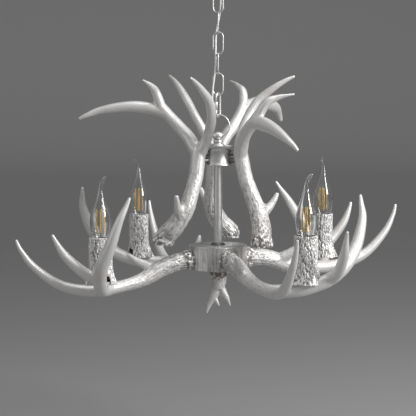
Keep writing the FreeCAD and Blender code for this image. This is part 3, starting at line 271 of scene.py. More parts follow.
# ---------------------------------------------------------------------------------------------------
# Shader groups
# ---------------------------------------------------------------------------------------------------
STREAKS = Grain(900.0, 4.0, 0.6)
SPECKLE = Grain(700.0, 3.0, 0.6)
STREAK_SHARE = 0.6
STAIN_CLOUDS = Grain(28.0, 3.0, 0.55)
STAIN_RAMP = Ramp(0.5, 0.72)
WOBBLE_RAMP = Ramp(0.0, 1.0, 1.0, 2.2)
# painted shade: relief levels over which the paint darkens to its groove shade colour
GROOVE_SHADE_RAMP = Ramp(-0.1, -1.05)
RUBBED_RAMP = Ramp(-0.8, 0.6, 0.62, 0.34)
ROUGH_BUMP_RAMP = Ramp(0.0, 1.0, 0.6, 1.0)


def relief_group() -> NodeGroup:
    """Group that tints paint by its relief: painted shade, dark and a little brown, in the grooves, and shinier paint
    on rubbed ridges.

    Returns:
        The group. It reads the "relief", "grain" and "rough" attributes that the skins store.
    """
    tree, given = new_tree("relief_shade_tint", "Shader", {
        "Paint": "Color", "Groove": "Color", "Stain": "Color", "Depth": "Float", "Stain Amount": "Float",
    }, SURFACE_OUTPUTS)
    relief = tree.add("ShaderNodeAttribute", attribute_name="relief").outputs["Fac"]
    grain = tree.add("ShaderNodeAttribute", attribute_name="grain").outputs["Vector"]
    rough = tree.add("ShaderNodeAttribute", attribute_name="rough").outputs["Fac"]
    place = tree.add("ShaderNodeTexCoord").outputs["Object"]
    fine = tree.plus(tree.times(tree.noise(grain, STREAKS), STREAK_SHARE),
                     tree.times(tree.noise(place, SPECKLE), 1 - STREAK_SHARE))
    wobble = tree.times(tree.minus(fine, 0.5), tree.remap(rough, WOBBLE_RAMP))
    # how low the relief lies, with fine noise; the low places get painted shade
    level = tree.plus(tree.times(relief, given["Depth"]), wobble)
    stain = tree.times(tree.remap(tree.noise(place, STAIN_CLOUDS), STAIN_RAMP), given["Stain Amount"])
    base = tree.blend(stain, given["Paint"], given["Stain"])
    tree.add("NodeGroupOutput", {
        "Color": tree.blend(tree.remap(level, GROOVE_SHADE_RAMP), base, given["Groove"]),
        "Roughness": tree.remap(level, RUBBED_RAMP),
        "Height": tree.times(fine, tree.remap(rough, ROUGH_BUMP_RAMP)),
    })
    return tree.nodes


SCRATCHES = Grain(1500.0, 3.0, 0.6)
BROAD_STREAKS = Grain(330.0, 3.0, 0.6)
BROAD_RAMP = Ramp(0.42, 0.66)
HANDLING_CLOUDS = Grain(60.0, 4.0, 0.55)
HANDLING_RAMP = Ramp(0.35, 0.75)
HANDLING_DULLNESS = 0.5
HANDLING_ROUGHNESS = 0.25


def scuff_group() -> NodeGroup:
    """Group for satin metal: fine scratches along one direction, clouding and small handling marks.

    Returns:
        The group, which reads Object coordinates.
    """
    tree, given = new_tree("satin_scuff", "Shader", {
        "Metal": "Color", "Dull": "Color", "Stretch": "Vector", "Base Roughness": "Float", "Scratch": "Float",
        "Streak": "Float",
    }, SURFACE_OUTPUTS)
    place = tree.add("ShaderNodeTexCoord").outputs["Object"]
    along = tree.vector("MULTIPLY", place, given["Stretch"])
    lines = tree.noise(along, SCRATCHES)
    clouds = tree.noise(place, HANDLING_CLOUDS)
    dull = tree.times(tree.remap(clouds, HANDLING_RAMP), HANDLING_DULLNESS)
    dull = tree.plus(dull, tree.times(tree.minus(lines, 0.5), given["Scratch"]))
    dull = tree.plus(dull, tree.times(tree.remap(tree.noise(along, BROAD_STREAKS), BROAD_RAMP), given["Streak"]))
    spread = tree.times(tree.minus(clouds, 0.5), HANDLING_ROUGHNESS)
    tree.add("NodeGroupOutput", {
        "Color": tree.blend(dull, given["Metal"], given["Dull"]),
        "Roughness": tree.plus(given["Base Roughness"], spread),
        "Height": tree.times(lines, given["Scratch"]),
    })
    return tree.nodes


class Groups:
    """The shader groups, each made when it is first asked for."""

    _made: dict[str, NodeGroup] = {}
    _makers: dict[str, Callable[[], NodeGroup]] = {"relief": relief_group, "scuff": scuff_group}

    @classmethod
    def get(cls, name: str) -> NodeGroup:
        """Finds or makes a shader group.

        Args:
            name: relief or scuff.

        Returns:
            The group, the same one at every call.
        """
        if name not in cls._made:
            cls._made[name] = cls._makers[name]()
        return cls._made[name]


# ---------------------------------------------------------------------------------------------------
# Finishes
# ---------------------------------------------------------------------------------------------------
class Finish:
    """A finish that makes its material once."""

    name: str

    def material(self) -> bpy.types.Material:
        """Makes the finish's material at the first call.

        Returns:
            The material, the same one at every call.
        """
        found = bpy.data.materials.get(self.name)
        if found is None:
            found = bpy.data.materials.new(self.name)
            found.use_nodes = True
            found.node_tree.nodes.clear()
            tree = Tree(found.node_tree)
            tree.add("ShaderNodeOutputMaterial", {"Surface": self.shader(tree)})
        return found

    def shader(self, tree: Tree) -> Socket:
        """Builds the surface shader and returns its socket."""
        raise NotImplementedError


def patterned(tree: Tree, group: str, values: dict[str, object], bump: tuple[float, float],
              metallic: float) -> Socket:
    """A surface whose colour, roughness and fine bumps come from a shader group.

    Args:
        tree: the material's tree.
        group: the shader group's name.
        values: the group's inputs.
        bump: strength and height in millimetres of the fine bumps.
        metallic: how metallic the surface is.

    Returns:
        The surface shader's socket.
    """
    pattern = tree.add("ShaderNodeGroup", values, node_tree=Groups.get(group)).outputs
    strength, height = bump
    normal = tree.add("ShaderNodeBump", {"Height": pattern["Height"], "Strength": strength, "Distance": height * MM})
    return tree.add("ShaderNodeBsdfPrincipled", {
        "Base Color": pattern["Color"], "Roughness": pattern["Roughness"], "Normal": normal.outputs[0],
        "Metallic": metallic}).outputs[0]


@dataclass(frozen=True)
class SilverPaint(Finish):
    """Silver paint over cast resin, with painted shade darkening its grooves. Its bump is a strength and a height in
    mm.
    """

    name: str = "silver_paint"
    paint: Colour = (0.72, 0.715, 0.705)
    # painted shade: the colour that the paint darkens to in its grooves
    groove_shade: Colour = (0.27, 0.25, 0.235)
    stain: Colour = (0.56, 0.49, 0.45)
    depth: float = 1.0
    stain_amount: float = 0.35
    metallic: float = 0.45
    bump: tuple[float, float] = (0.35, 0.6)

    def shader(self, tree: Tree) -> Socket:
        """Builds the surface shader and returns its socket."""
        return patterned(tree, "relief", {
            "Paint": opaque(self.paint), "Groove": opaque(self.groove_shade), "Stain": opaque(self.stain),
            "Depth": self.depth, "Stain Amount": self.stain_amount}, self.bump, self.metallic)


@dataclass(frozen=True)
class SatinMetal(Finish):
    """Satin or polished metal with fine scratches. Its bump is a strength and a height in mm."""

    name: str
    metal: Colour
    roughness: float
    dull: Colour = (0.40, 0.395, 0.385)
    stretch: tuple[float, float, float] = (1.0, 1.0, 0.06)
    scratch: float = 0.5
    streak: float = 0.0
    bump: tuple[float, float] = (0.12, 0.2)

    def shader(self, tree: Tree) -> Socket:
        """Builds the surface shader and returns its socket."""
        return patterned(tree, "scuff", {
            "Metal": opaque(self.metal), "Dull": opaque(self.dull), "Stretch": self.stretch,
            "Base Roughness": self.roughness, "Scratch": self.scratch, "Streak": self.streak}, self.bump, 1.0)


@dataclass(frozen=True)
class ClearGlass(Finish):
    """Clear glass."""

    name: str = "bulb_glass"
    tint: Colour = (0.97, 0.975, 0.975)
    ior: float = 1.45

    def shader(self, tree: Tree) -> Socket:
        """Builds the surface shader and returns its socket."""
        return tree.add("ShaderNodeBsdfPrincipled", {
            "Base Color": opaque(self.tint), "Roughness": 0.0, "IOR": self.ior, "Transmission Weight": 1.0}).outputs[0]


@dataclass(frozen=True)
class Moulded(Finish):
    """Plain moulded plastic, rubber, ceramic or coated wire with faint mottling."""

    name: str
    colour: Colour
    roughness: float = 0.45
    mottle: float = 0.35
    glow: float = 0.0
    coat: float = 0.0
    grain: Grain = Grain(160.0, 4.0, 0.6)
    roughness_spread: float = 0.15

    def shader(self, tree: Tree) -> Socket:
        """Builds the surface shader.

        Args:
            tree: the material's tree.

        Returns:
            The shader's socket.
        """
        clouds = tree.noise(tree.add("ShaderNodeTexCoord").outputs["Object"], self.grain)
        darker = tuple(channel * (1 - self.mottle) for channel in self.colour)
        colour = tree.blend(clouds, opaque(self.colour), opaque(darker))
        spread = Ramp(0.3, 0.7, self.roughness * (1 - self.roughness_spread),
                      self.roughness * (1 + self.roughness_spread))
        surface = tree.add("ShaderNodeBsdfPrincipled", {
            "Base Color": colour, "Roughness": tree.remap(clouds, spread), "Coat Weight": self.coat})
        if self.glow:
            tree.feed(surface.inputs["Emission Color"], colour)
            surface.inputs["Emission Strength"].default_value = self.glow
        return surface.outputs[0]


@dataclass(frozen=True)
class Backdrop(Finish):
    """Plain floor and backdrop, whose paint gets paler towards the far wall, where less light falls.

    The ramp's lengths are metres behind the object.
    """

    name: str = "studio_floor"
    near: Colour = (0.27, 0.27, 0.27)
    far: Colour = (0.54, 0.54, 0.54)
    behind: Ramp = Ramp(1.0, 8.0)
    roughness: float = 0.9

    def shader(self, tree: Tree) -> Socket:
        """Builds the surface shader.

        Args:
            tree: the material's tree.

        Returns:
            The shader's socket.
        """
        place = tree.add("ShaderNodeTexCoord").outputs["Object"]
        depth = tree.remap(tree.vector("DOT_PRODUCT", place, (0.0, 1.0, 0.0)), self.behind)
        colour = tree.blend(depth, opaque(self.near), opaque(self.far))
        return tree.add("ShaderNodeBsdfPrincipled", {"Base Color": colour, "Roughness": self.roughness}).outputs[0]


ANTLER_PAINT = SilverPaint()
# the bark's cracks get a darker painted shade than the antlers' grooves
BARK_PAINT = SilverPaint("bark_paint", depth=1.15, stain_amount=0.25, groove_shade=(0.19, 0.175, 0.165), bump=(0.5, 0.6))
NICKEL = SatinMetal("satin_nickel", (0.72, 0.72, 0.715), 0.44, dull=(0.52, 0.515, 0.51), scratch=0.3)
ROD_NICKEL = SatinMetal("rod_nickel", (0.86, 0.86, 0.85), 0.4, dull=(0.74, 0.735, 0.73), scratch=0.1,
                        bump=(0.03, 0.2))
CHAIN_STEEL = SatinMetal("chain_steel", (0.72, 0.715, 0.70), 0.24, stretch=(1.0, 1.0, 1.0))
HUB_NICKEL = SatinMetal("hub_nickel", (0.80, 0.795, 0.79), 0.44, dull=(0.36, 0.34, 0.33), streak=0.6)
# painted shade: nickel trim painted dark for the cap's spacers and the rod's washer, which sit in shade
SHADED_NICKEL = SatinMetal("shaded_nickel", (0.25, 0.25, 0.25), 0.4, dull=(0.12, 0.12, 0.12))
ZINC = SatinMetal("zinc_steel", (0.50, 0.51, 0.52), 0.4, stretch=(1.0, 1.0, 1.0))
BRASS = SatinMetal("cap_brass", (0.66, 0.53, 0.32), 0.3, dull=(0.42, 0.32, 0.18))
HOLDER = Moulded("holder_plastic", (0.20, 0.095, 0.075))
RUBBER = Moulded("grommet_rubber", (0.03, 0.03, 0.03), roughness=0.7)
AMBER = Moulded("amber_filament", (0.95, 0.47, 0.045), roughness=0.5, mottle=0.12, glow=0.6)
STEM_GLASS = ClearGlass("stem_glass", (0.93, 0.93, 0.92))
JACKET = Moulded("cord_jacket", (0.62, 0.60, 0.57), roughness=0.2, mottle=0.2, coat=0.5)
GLASS = ClearGlass()


# ---------------------------------------------------------------------------------------------------
# Meshes
# ---------------------------------------------------------------------------------------------------
CREASE_ANGLE = 35.0
WELD_DISTANCE = 0.002
SLIVER = 0.001


def placed(name: str, data: bpy.types.ID) -> Thing:
    """Adds an object to the scene.

    Args:
        name: its name.
        data: the mesh, curve, lamp or camera that it shows.

    Returns:
        The object, at the origin.
    """
    thing = bpy.data.objects.new(name, data)
    bpy.context.scene.collection.objects.link(thing)
    return thing


def modelled(name: str, work: bmesh.types.BMesh) -> Thing:
    """Adds an object whose mesh is a finished bmesh.

    Args:
        name: its name.
        work: the bmesh, which is freed.

    Returns:
        The object.
    """
    mesh = bpy.data.meshes.new(name)
    work.to_mesh(mesh)
    work.free()
    return placed(name, mesh)


def belt(work: bmesh.types.BMesh, low: Ring, high: Ring) -> None:
    """Joins two rings of as many points by a belt of faces.

    Args:
        work: the bmesh that the rings are in.
        low: the first ring.
        high: the second ring.
    """
    for number, spot in enumerate(low):
        after = (number + 1) % len(low)
        work.faces.new((spot, low[after], high[after], high[number]))


def belts(work: bmesh.types.BMesh, rings: Iterable[Iterable[Vector]]) -> list[Ring]:
    """Adds rings of points to a bmesh and joins each to the next.

    Args:
        work: the bmesh.
        rings: the rings, with as many points each, in order.

    Returns:
        The rings' vertices.
    """
    rows = [[work.verts.new(spot) for spot in ring] for ring in rings]
    for low, high in zip(rows, rows[1:]):
        belt(work, low, high)
    return rows


def angles_round(count: int) -> list[float]:
    """That many even angles round a circle, in radians."""
    return [2 * math.pi * number / count for number in range(count)]


def between(p: float, q: float, r: float, s: float, share: float) -> float:
    """The value at a share of the way from q to r, on a smooth curve through p, q, r and s."""
    return 0.5 * (2 * q + (r - p) * share + (2 * p - 5 * q + 4 * r - s) * share * share
                  + (3 * q - p - 3 * r + s) * share ** 3)


def middle_of(node: str) -> Vector:
    """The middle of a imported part's box, in metres."""
    low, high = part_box(node)
    return (low + high) / 2


def baked(thing: Thing) -> Thing:
    """Turns an object's live modifiers into its mesh.

    Args:
        thing: the object, whose modifiers are read and then removed.

    Returns:
        The same object with a plain mesh.
    """
    graph = bpy.context.evaluated_depsgraph_get()
    mesh = bpy.data.meshes.new_from_object(thing.evaluated_get(graph), depsgraph=graph)
    old = thing.data
    thing.modifiers.clear()
    thing.data = mesh
    mesh.name = thing.name
    if old.users == 0:
        bpy.data.meshes.remove(old)
    return thing


def with_tree(thing: Thing, tree: bpy.types.NodeTree, **values: object) -> Thing:
    """Runs a geometry tree on an object and bakes the result.

    Args:
        thing: the object that carries the tree's input.
        tree: the geometry node tree.
        values: the tree's named inputs, with spaces written as underscores.

    Returns:
        The object with the finished mesh.
    """
    modifier = thing.modifiers.new(tree.name, "NODES")
    modifier.node_group = tree
    wanted = {name.replace("_", " "): value for name, value in values.items()}
    for item in tree.interface.items_tree:
        if item.item_type == "SOCKET" and item.in_out == "INPUT" and item.name in wanted:
            modifier[item.identifier] = wanted[item.name]
    return baked(thing)


def smooth_shaded(thing: Thing, angle: float = CREASE_ANGLE) -> Thing:
    """Gives an object smooth shading.

    Args:
        thing: the object.
        angle: edges sharper than this many degrees stay creased.

    Returns:
        The same object.
    """
    thing.data.shade_smooth()
    thing.data.set_sharp_from_angle(angle=math.radians(angle))
    return thing


def merged_copy(node: str, name: str, bevel: float) -> Thing:
    """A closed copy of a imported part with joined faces, softened edges and smooth shading.

    Args:
        node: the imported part.
        name: the new piece's name.
        bevel: width of the softened edges in millimetres, or 0 for none.

    Returns:
        The new object, which doesn't replace the part yet.
    """
    work = bmesh.new()
    work.from_mesh(bpy.data.objects[node].data)
    bmesh.ops.remove_doubles(work, verts=work.verts, dist=WELD_DISTANCE * MM)
    bmesh.ops.dissolve_degenerate(work, edges=work.edges, dist=SLIVER * MM)
    thing = modelled(name, work)
    if bevel:
        modifier = thing.modifiers.new("soft_edges", "BEVEL")
        modifier.width = bevel * MM
        modifier.segments = 2
        modifier.limit_method = "ANGLE"
        modifier.angle_limit = math.radians(CREASE_ANGLE)
        baked(thing)
    return smooth_shaded(thing)


def dressed(thing: Thing, finish: Finish, body: str, replaces: Sequence[str] = ()) -> None:
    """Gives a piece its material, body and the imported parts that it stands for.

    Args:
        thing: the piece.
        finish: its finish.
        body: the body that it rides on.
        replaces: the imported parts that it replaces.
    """
    if not thing.data.materials:
        thing.data.materials.append(finish.material())
    thing.data.materials[0] = finish.material()
    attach(thing, body)
    if replaces:
        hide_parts(*replaces)
    LOG.info("%s: %d faces on %s", thing.name, len(thing.data.polygons), body)


# ---------------------------------------------------------------------------------------------------
# Antler skins
# ---------------------------------------------------------------------------------------------------
@dataclass(frozen=True)
class Branch:
    """One branch of an antler: (out, side, up, radius) rows in mm and how rough it is at its ends."""

    rows: tuple[Row, ...]
    rough_start: float = 0.0
    rough_end: float = 0.0
    burr: bool = False


@dataclass(frozen=True)
class SkinSizes:
    """Sizes of the antler skin in mm."""

    swell: float = 4.5
    voxel: float = 1.35
    quick_voxel: float = 2.2
    step: float = 3.0
    groove_depth: float = 1.0
    lump_height: float = 1.4
    pearl_height: float = 1.9
    waver: float = 1.1
    grain_stretch: float = 0.13

    def voxel_now(self) -> float:
        """The voxel for this run."""
        return self.voxel


TUBE_SIDES = 22
FORK_BLUR = 24
WRAP_RADIUS = 14.0
GROOVES = Grain(330.0, 3.0, 0.55)
GROOVE_SHAPE = Ramp(0.0, 0.11, -1.0, 0.25)
LUMPS = Grain(150.0, 3.0, 0.5)
PEARLS_PER_METRE = 210.0
PEARL_SHAPE = Ramp(0.15, 0.62, 0.6, -0.6)
WAVES = Grain(24.0, 1.0, 0.4)


def antler_tree() -> NodeGroup:
    """Geometry nodes that grow one closed antler skin over lines with a thickness at each point.

    The lines become smooth tubes that are swollen, united, turned into a volume and shrunk back, which rounds
    the forks. Grooves, lumps and pearls then follow the nearest line.

    Returns:
        The tree.
    """
    tree, given = new_tree("antler_skin", "Geometry", {
        "Geometry": "Geometry", "Swell": "Float", "Voxel": "Float", "Step": "Float", "Groove Depth": "Float",
        "Lump Height": "Float", "Pearl Height": "Float", "Waver": "Float", "Grain Stretch": "Float",
        "Seed": "Float", "Paint": "Material",
    }, MESH_OUTPUT)
    lines = tree.add("GeometryNodeMeshToCurve", {"Mesh": given["Geometry"]}).outputs[0]
    lines = tree.add("GeometryNodeCurveSplineType", {"Curve": lines}, spline_type="CATMULL_ROM").outputs[0]
    lines = tree.add("GeometryNodeResampleCurve", {"Curve": lines, "Length": given["Step"]}, mode="LENGTH").outputs[0]
    ring = tree.add("GeometryNodeCurvePrimitiveCircle", {"Resolution": TUBE_SIDES, "Radius": 1.0}).outputs[0]
    line_number = tree.add("GeometryNodeInputIndex").outputs[0]
    apart = tree.add("GeometryNodeSplitToInstances", {"Geometry": lines, "Group ID": line_number},
                     domain="CURVE").outputs[0]
    tubes = tree.add("GeometryNodeCurveToMesh", {
        "Curve": apart, "Profile Curve": ring, "Scale": tree.plus(tree.named("thickness", "FLOAT"), given["Swell"]),
        "Fill Caps": True}).outputs[0]
    union = tree.add("GeometryNodeMeshBoolean", {"Mesh 2": tubes}, operation="UNION", solver="MANIFOLD").outputs[0]
    cloud = tree.add("GeometryNodeMeshToVolume", {
        "Mesh": union, "Voxel Size": given["Voxel"], "Interior Band Width": tree.times(given["Swell"], 2.0)},
        resolution_mode="VOXEL_SIZE").outputs[0]
    skin = tree.add("GeometryNodeVolumeToMesh", {"Volume": cloud, "Threshold": 0.5, "Adaptivity": 0.0}).outputs[0]

    points = tree.add("GeometryNodeCurveToPoints", {"Curve": lines}, mode="EVALUATED").outputs
    position = tree.add("GeometryNodeInputPosition").outputs[0]
    nearest = tree.add("GeometryNodeSampleNearest",
                       {"Geometry": points["Points"], "Sample Position": position}).outputs[0]

    def sampled(value: Socket, kind: str) -> Socket:
        """A value of the nearest line point."""
        return tree.add("GeometryNodeSampleIndex", {"Geometry": points["Points"], "Value": value, "Index": nearest},
                        data_type=kind).outputs[0]

    offset = tree.vector("SUBTRACT", position, sampled(position, "FLOAT_VECTOR"))
    tangent = sampled(points["Tangent"], "FLOAT_VECTOR")
    side = sampled(points["Normal"], "FLOAT_VECTOR")
    rough, burr, along = (sampled(tree.named(name, "FLOAT"), "FLOAT") for name in ("rough", "burr", "along"))
    outward = tree.vector("NORMALIZE", offset)
    ahead = tree.vector("DOT_PRODUCT", offset, tangent)
    shift = tree.combine(given["Seed"], 0.0, 0.0)
    round_line = [tree.times(tree.vector("DOT_PRODUCT", outward, axis), WRAP_RADIUS * MM)
                  for axis in (side, tree.vector("CROSS_PRODUCT", tangent, side))]
    grain = tree.combine(*round_line, tree.times(tree.plus(along, ahead), given["Grain Stretch"]))
    place = tree.vector("ADD", position, shift)
    skin = tree.stored(skin, "grain", tree.vector("ADD", grain, shift), "FLOAT_VECTOR")
    skin = tree.stored(skin, "rough", tree.add("GeometryNodeBlurAttribute", {0: rough, "Iterations": FORK_BLUR},
                                               data_type="FLOAT").outputs[0])
    skin = tree.stored(skin, "burr", burr)

    grain = tree.named("grain", "FLOAT_VECTOR")
    rough, burr = (tree.named(name, "FLOAT") for name in ("rough", "burr"))
    valley = tree.remap(tree.math("ABSOLUTE", tree.swing(grain, GROOVES)), GROOVE_SHAPE)
    grooves = tree.times(valley, tree.times(given["Groove Depth"], rough))
    lumps = tree.times(tree.swing(place, LUMPS), tree.times(given["Lump Height"], rough))
    cells = tree.add("ShaderNodeTexVoronoi", {"Vector": place, "Scale": PEARLS_PER_METRE},
                     feature="SMOOTH_F1").outputs["Distance"]
    pearls = tree.times(tree.remap(cells, PEARL_SHAPE), tree.times(given["Pearl Height"], burr))
    waver = tree.times(tree.swing(place, WAVES), given["Waver"])
    detail = tree.plus(grooves, tree.plus(lumps, pearls))
    normal = tree.add("GeometryNodeInputNormal").outputs[0]
    moved = tree.scaled(normal, tree.plus(detail, waver))
    # the relief is kept for the paint, which darkens the low places with painted shade
    skin = tree.stored(skin, "relief", tree.math("DIVIDE", detail, given["Groove Depth"]))
    skin = tree.add("GeometryNodeSetPosition", {"Geometry": skin, "Offset": moved}).outputs[0]
    return tree.close(skin, given["Paint"])


BURR_POINTS = 3
SEED_STEP = 0.7


@dataclass
class AntlerSkin:
    """Turns branches into antler pieces, with one geometry tree for all of them."""

    sizes: SkinSizes = field(default_factory=SkinSizes)
    tree: NodeGroup = field(default_factory=antler_tree)

    def lines(self, name: str, branches: Iterable[Branch], place: Matrix) -> Thing:
        """Draws the branches as lines with their thickness, roughness and burr.

        Args:
            name: the object's name.
            branches: the branches in mm.
            place: where the antler stands, in metres.

        Returns:
            An object whose mesh holds the lines.
        """
        verts: list[Vector] = []
        edges: list[tuple[int, int]] = []
        values: dict[str, list[float]] = {"thickness": [], "rough": [], "burr": [], "along": []}
        for branch in branches:
            spots = [Vector(row[:3]) for row in branch.rows]
            spots[0] += (spots[0] - spots[1]).normalized() * self.sizes.swell
            spots[-1] += (spots[-1] - spots[-2]).normalized() * self.sizes.swell
            length = sum((b - a).length for a, b in zip(spots, spots[1:]))
            walked = 0.0
            for number, (spot, row) in enumerate(zip(spots, branch.rows)):
                if number:
                    walked += (spot - spots[number - 1]).length
                    edges.append((len(verts) - 1, len(verts)))
                share = walked / length
                verts.append(place @ (spot * MM))
                values["thickness"].append(row[3] * MM)
                values["rough"].append(branch.rough_start + (branch.rough_end - branch.rough_start) * share)
                values["burr"].append(1.0 if branch.burr and number < BURR_POINTS else 0.0)
                values["along"].append(walked * MM)
        mesh = bpy.data.meshes.new(name)
        mesh.from_pydata(verts, edges, [])
        for key, numbers in values.items():
            mesh.attributes.new(key, "FLOAT", "POINT").data.foreach_set("value", numbers)
        return placed(name, mesh)

    def grow(self, name: str, branches: Iterable[Branch], place: Matrix, seed: float, replaces: str) -> None:
        """Makes and dresses the skin of one antler.

        Args:
            name: the piece's name.
            branches: its branches in mm.
            place: where it stands, in metres.
            seed: where its pattern starts.
            replaces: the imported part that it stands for.
        """
        sizes = self.sizes
        skin = with_tree(
            self.lines(name, branches, place), self.tree, Swell=sizes.swell * MM, Voxel=sizes.voxel_now() * MM,
            Step=sizes.step * MM, Groove_Depth=sizes.groove_depth * MM, Lump_Height=sizes.lump_height * MM,
            Pearl_Height=sizes.pearl_height * MM, Waver=sizes.waver * MM, Grain_Stretch=sizes.grain_stretch,
            Seed=seed, Paint=ANTLER_PAINT.material())
        dressed(skin, ANTLER_PAINT, "fixture", [replaces])


def turn(axis: str, degrees: float) -> Matrix:
    """A turn about a main axis."""
    return Matrix.Rotation(math.radians(degrees), 4, axis)


def shifted(rows: Iterable[Row], by: Sequence[float]) -> tuple[Row, ...]:
    """Branch rows moved by a fixed amount."""
    return tuple((x + by[0], y + by[1], z + by[2], r) for x, y, z, r in rows)


@dataclass(frozen=True)
class Hang:
    """How one antler of a set hangs: its heading, tilt or droop, and roll, in degrees."""

    azimuth: float
    lean: float
    roll: float = 0.0


@dataclass
class LowerAntlers:
    """The four antlers round the hub that carry the candles."""

    skin: AntlerSkin
    seat: tuple[float, float, float] = (175, 66, -19)
    drop: float = 24.0
    hub_radius: float = 49.0
    hangs: dict[str, Hang] = field(default_factory=lambda: {
        "left": Hang(198, -3.5, 4), "front": Hang(290, 1, -1), "right": Hang(21, 4, -5), "rear": Hang(111, 2, -4)})

    def branches(self) -> list[Branch]:
        """Lists the branches, from the middle of the root on the hub's wall.

        Returns:
            The branches of one lower antler in mm.
        """
        beam = ((-8, 0, 0, 14), (1, 0, 0, 17.5), (9, 0, 0, 17.5), (15, 0, -1, 15), (28, 0, -2, 15),
                (52, 1, -9, 14.5), (76, 4, -20, 13), (100, 8, -27, 11.5), (126, 12, -31, 10.5), (153, 16, -33, 11.5))
        end_tine = ((148, 16, -33, 10.5), (186, 14, -32, 9.8), (230, 8, -18, 8.3), (268, 3, 14, 6.3),
                    (288, 1, 44, 4), (294, 0, 62, 1.8))
        spur = ((56, 0, -12, 11), (80, -12, 0, 8), (94, -20, 11, 5), (101, -25, 19, 1.5))
        side_beam = ((148, 14, -33, 10.5), *shifted((
            (-10, -24, -12, 11.5), (1, 4, -6.5, 11.3), (11, 38, 8, 11), (13, 64, 31, 11), (3, 86, 61, 9.8),
            (-11, 102, 101, 7), (-25, 106, 127, 4), (-31, 107, 139, 1.7)), self.seat))
        mid_tine = shifted(((12, 38, 8, 10), (35, 41, 23, 9.3), (62, 38, 51, 7.4), (75, 35, 74, 4.6),
                            (81, 34, 89, 1.8)), self.seat)
        return [Branch(beam, 1.0, 0.3, burr=True), Branch(end_tine, 0.25, 0.0), Branch(side_beam, 0.3, 0.0),
                Branch(mid_tine), Branch(spur, 0.7, 0.1)]

    def place(self, hang: Hang) -> Matrix:
        """Where an antler stands.

        Args:
            hang: how it hangs.

        Returns:
            Its place in metres, with the middle of its root at the origin.
        """
        azimuth = turn("Z", hang.azimuth)
        root = azimuth @ Vector((self.hub_radius * MM, 0, 0))
        root.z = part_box("hub_lid")[1].z - self.drop * MM
        return Matrix.Translation(root) @ azimuth @ turn("X", hang.roll) @ turn("Y", -hang.lean)

    def build(self) -> None:
        """Grows and dresses the four antlers."""
        for number, (name, hang) in enumerate(self.hangs.items()):
            self.skin.grow(f"lower_antler_skin_{name}", self.branches(), self.place(hang), number * SEED_STEP,
                           f"lower_antler_{name}")


@dataclass
class UpperAntlers:
    """The three antlers that hang on the cap."""

    skin: AntlerSkin
    lead: float = 17.3
    grip_distance: float = 42.5
    grip_height: float = 14.0
    first_seed: float = 3.3
    hangs: dict[str, Hang] = field(default_factory=lambda: {
        "left": Hang(198.5, 0), "right": Hang(318.5, 12), "rear": Hang(78.5, 3)})
    sweeps: dict[str, tuple[Row, ...]] = field(default_factory=lambda: {
        "left": ((47.5, -36.6, 74, 9.5), (75.5, -48.6, 82, 10.2), (109.5, -62.6, 83, 9), (147.5, -76.6, 77, 6.4),
                 (172, -82, 68, 3.8), (181.5, -85.6, 63, 1.8)),
        "right": ((47.5, -36.6, 72, 10.5), (75.5, -48.6, 76, 11.5), (109.5, -62.6, 76, 9.6), (147.5, -77.6, 71, 6.6),
                  (172, -84, 64.5, 4), (181.5, -87.6, 61, 1.9)),
        "rear": ((47.5, -36.6, 76, 9.5), (75.5, -48.6, 87, 11.5), (109.5, -62.6, 91, 12), (147.5, -76.6, 85, 9.5),
                 (166, -82, 72, 6.2), (172, -85, 60, 2.4)),
    })

    def branches(self, droop: float, sweep_tine: tuple[Row, ...]) -> list[Branch]:
        """Lists the branches, from the middle of the trunk where the cap holds it.

        Args:
            droop: how far the crown leans outwards, in degrees.
            sweep_tine: rows of the long outward tine.

        Returns:
            The branches of one upper antler in mm.
        """
        trunk = ((58.5, -13.6, -147, 15.5), (58, -13.6, -143, 18), (55, -12, -137, 18), (51, -8, -129, 16.3),
                 (41.5, 3.4, -115, 15.8), (25.5, 11.4, -88, 14.3), (14.5, 9.4, -62, 12.8), (6, 5.4, -38, 12.5),
                 (1.5, 2.4, -15, 12.5), (-1.5, -1.6, 10, 12.5))
        crown = ((-1.5, -1.6, 3, 12), (9.5, -14.6, 30, 11), (22.5, -25.6, 48, 10.5), (38.5, -33.6, 67, 10),
                 (51.5, -37.6, 82, 9.5))
        tip_tine = ((50, -37, 77, 8.6), (61.5, -35.6, 107, 7.5), (73.5, -24.6, 119, 5), (86, -14, 126, 2.6),
                    (93.5, -5.6, 129, 1.6))
        inner_tine = ((-2, -1, 0, 10.5), (-8, 6, 17, 10), (-12.5, 15.4, 35, 8.8), (-13.5, 32.4, 65, 8),
                      (-4.5, 49.4, 93, 7.5), (13.5, 65.4, 113, 6), (30, 80, 127, 3.8), (41.5, 90.4, 134, 1.6))
        spur = ((31, 8, -98, 11), (39, 18.4, -88, 8.5), (44, 27, -78, 6), (47.5, 34, -66, 4.4), (48.5, 36, -60, 2.5))
        lean = turn("Y", droop)

        def drooped(rows: tuple[Row, ...]) -> tuple[Row, ...]:
            """Rows turned outwards about the antler's side axis."""
            return tuple((*(lean @ Vector(row[:3])), row[3]) for row in rows)

        return [Branch(trunk, 1.0, 0.35, burr=True), Branch(drooped(crown), 0.35, 0.15),
                Branch(drooped(tip_tine), 0.1, 0.0), Branch(drooped(sweep_tine), 0.1, 0.0),
                Branch(inner_tine, 0.25, 0.0), Branch(spur, 0.8, 0.3)]

    def place(self, hang: Hang) -> Matrix:
        """Where an antler stands.

        Args:
            hang: how it hangs.

        Returns:
            Its place in metres, with the middle of its trunk in the cap at the origin.
        """
        spot = turn("Z", hang.azimuth + self.lead) @ Vector((self.grip_distance * MM, 0, 0))
        spot.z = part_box("flared_cap")[0].z + self.grip_height * MM
        return Matrix.Translation(spot) @ turn("Z", hang.azimuth)

    def build(self) -> None:
        """Grows and dresses the three antlers."""
        for number, (name, hang) in enumerate(self.hangs.items()):
            self.skin.grow(f"upper_antler_skin_{name}", self.branches(hang.lean, self.sweeps[name]),
                           self.place(hang), self.first_seed + number * SEED_STEP, f"upper_antler_{name}")


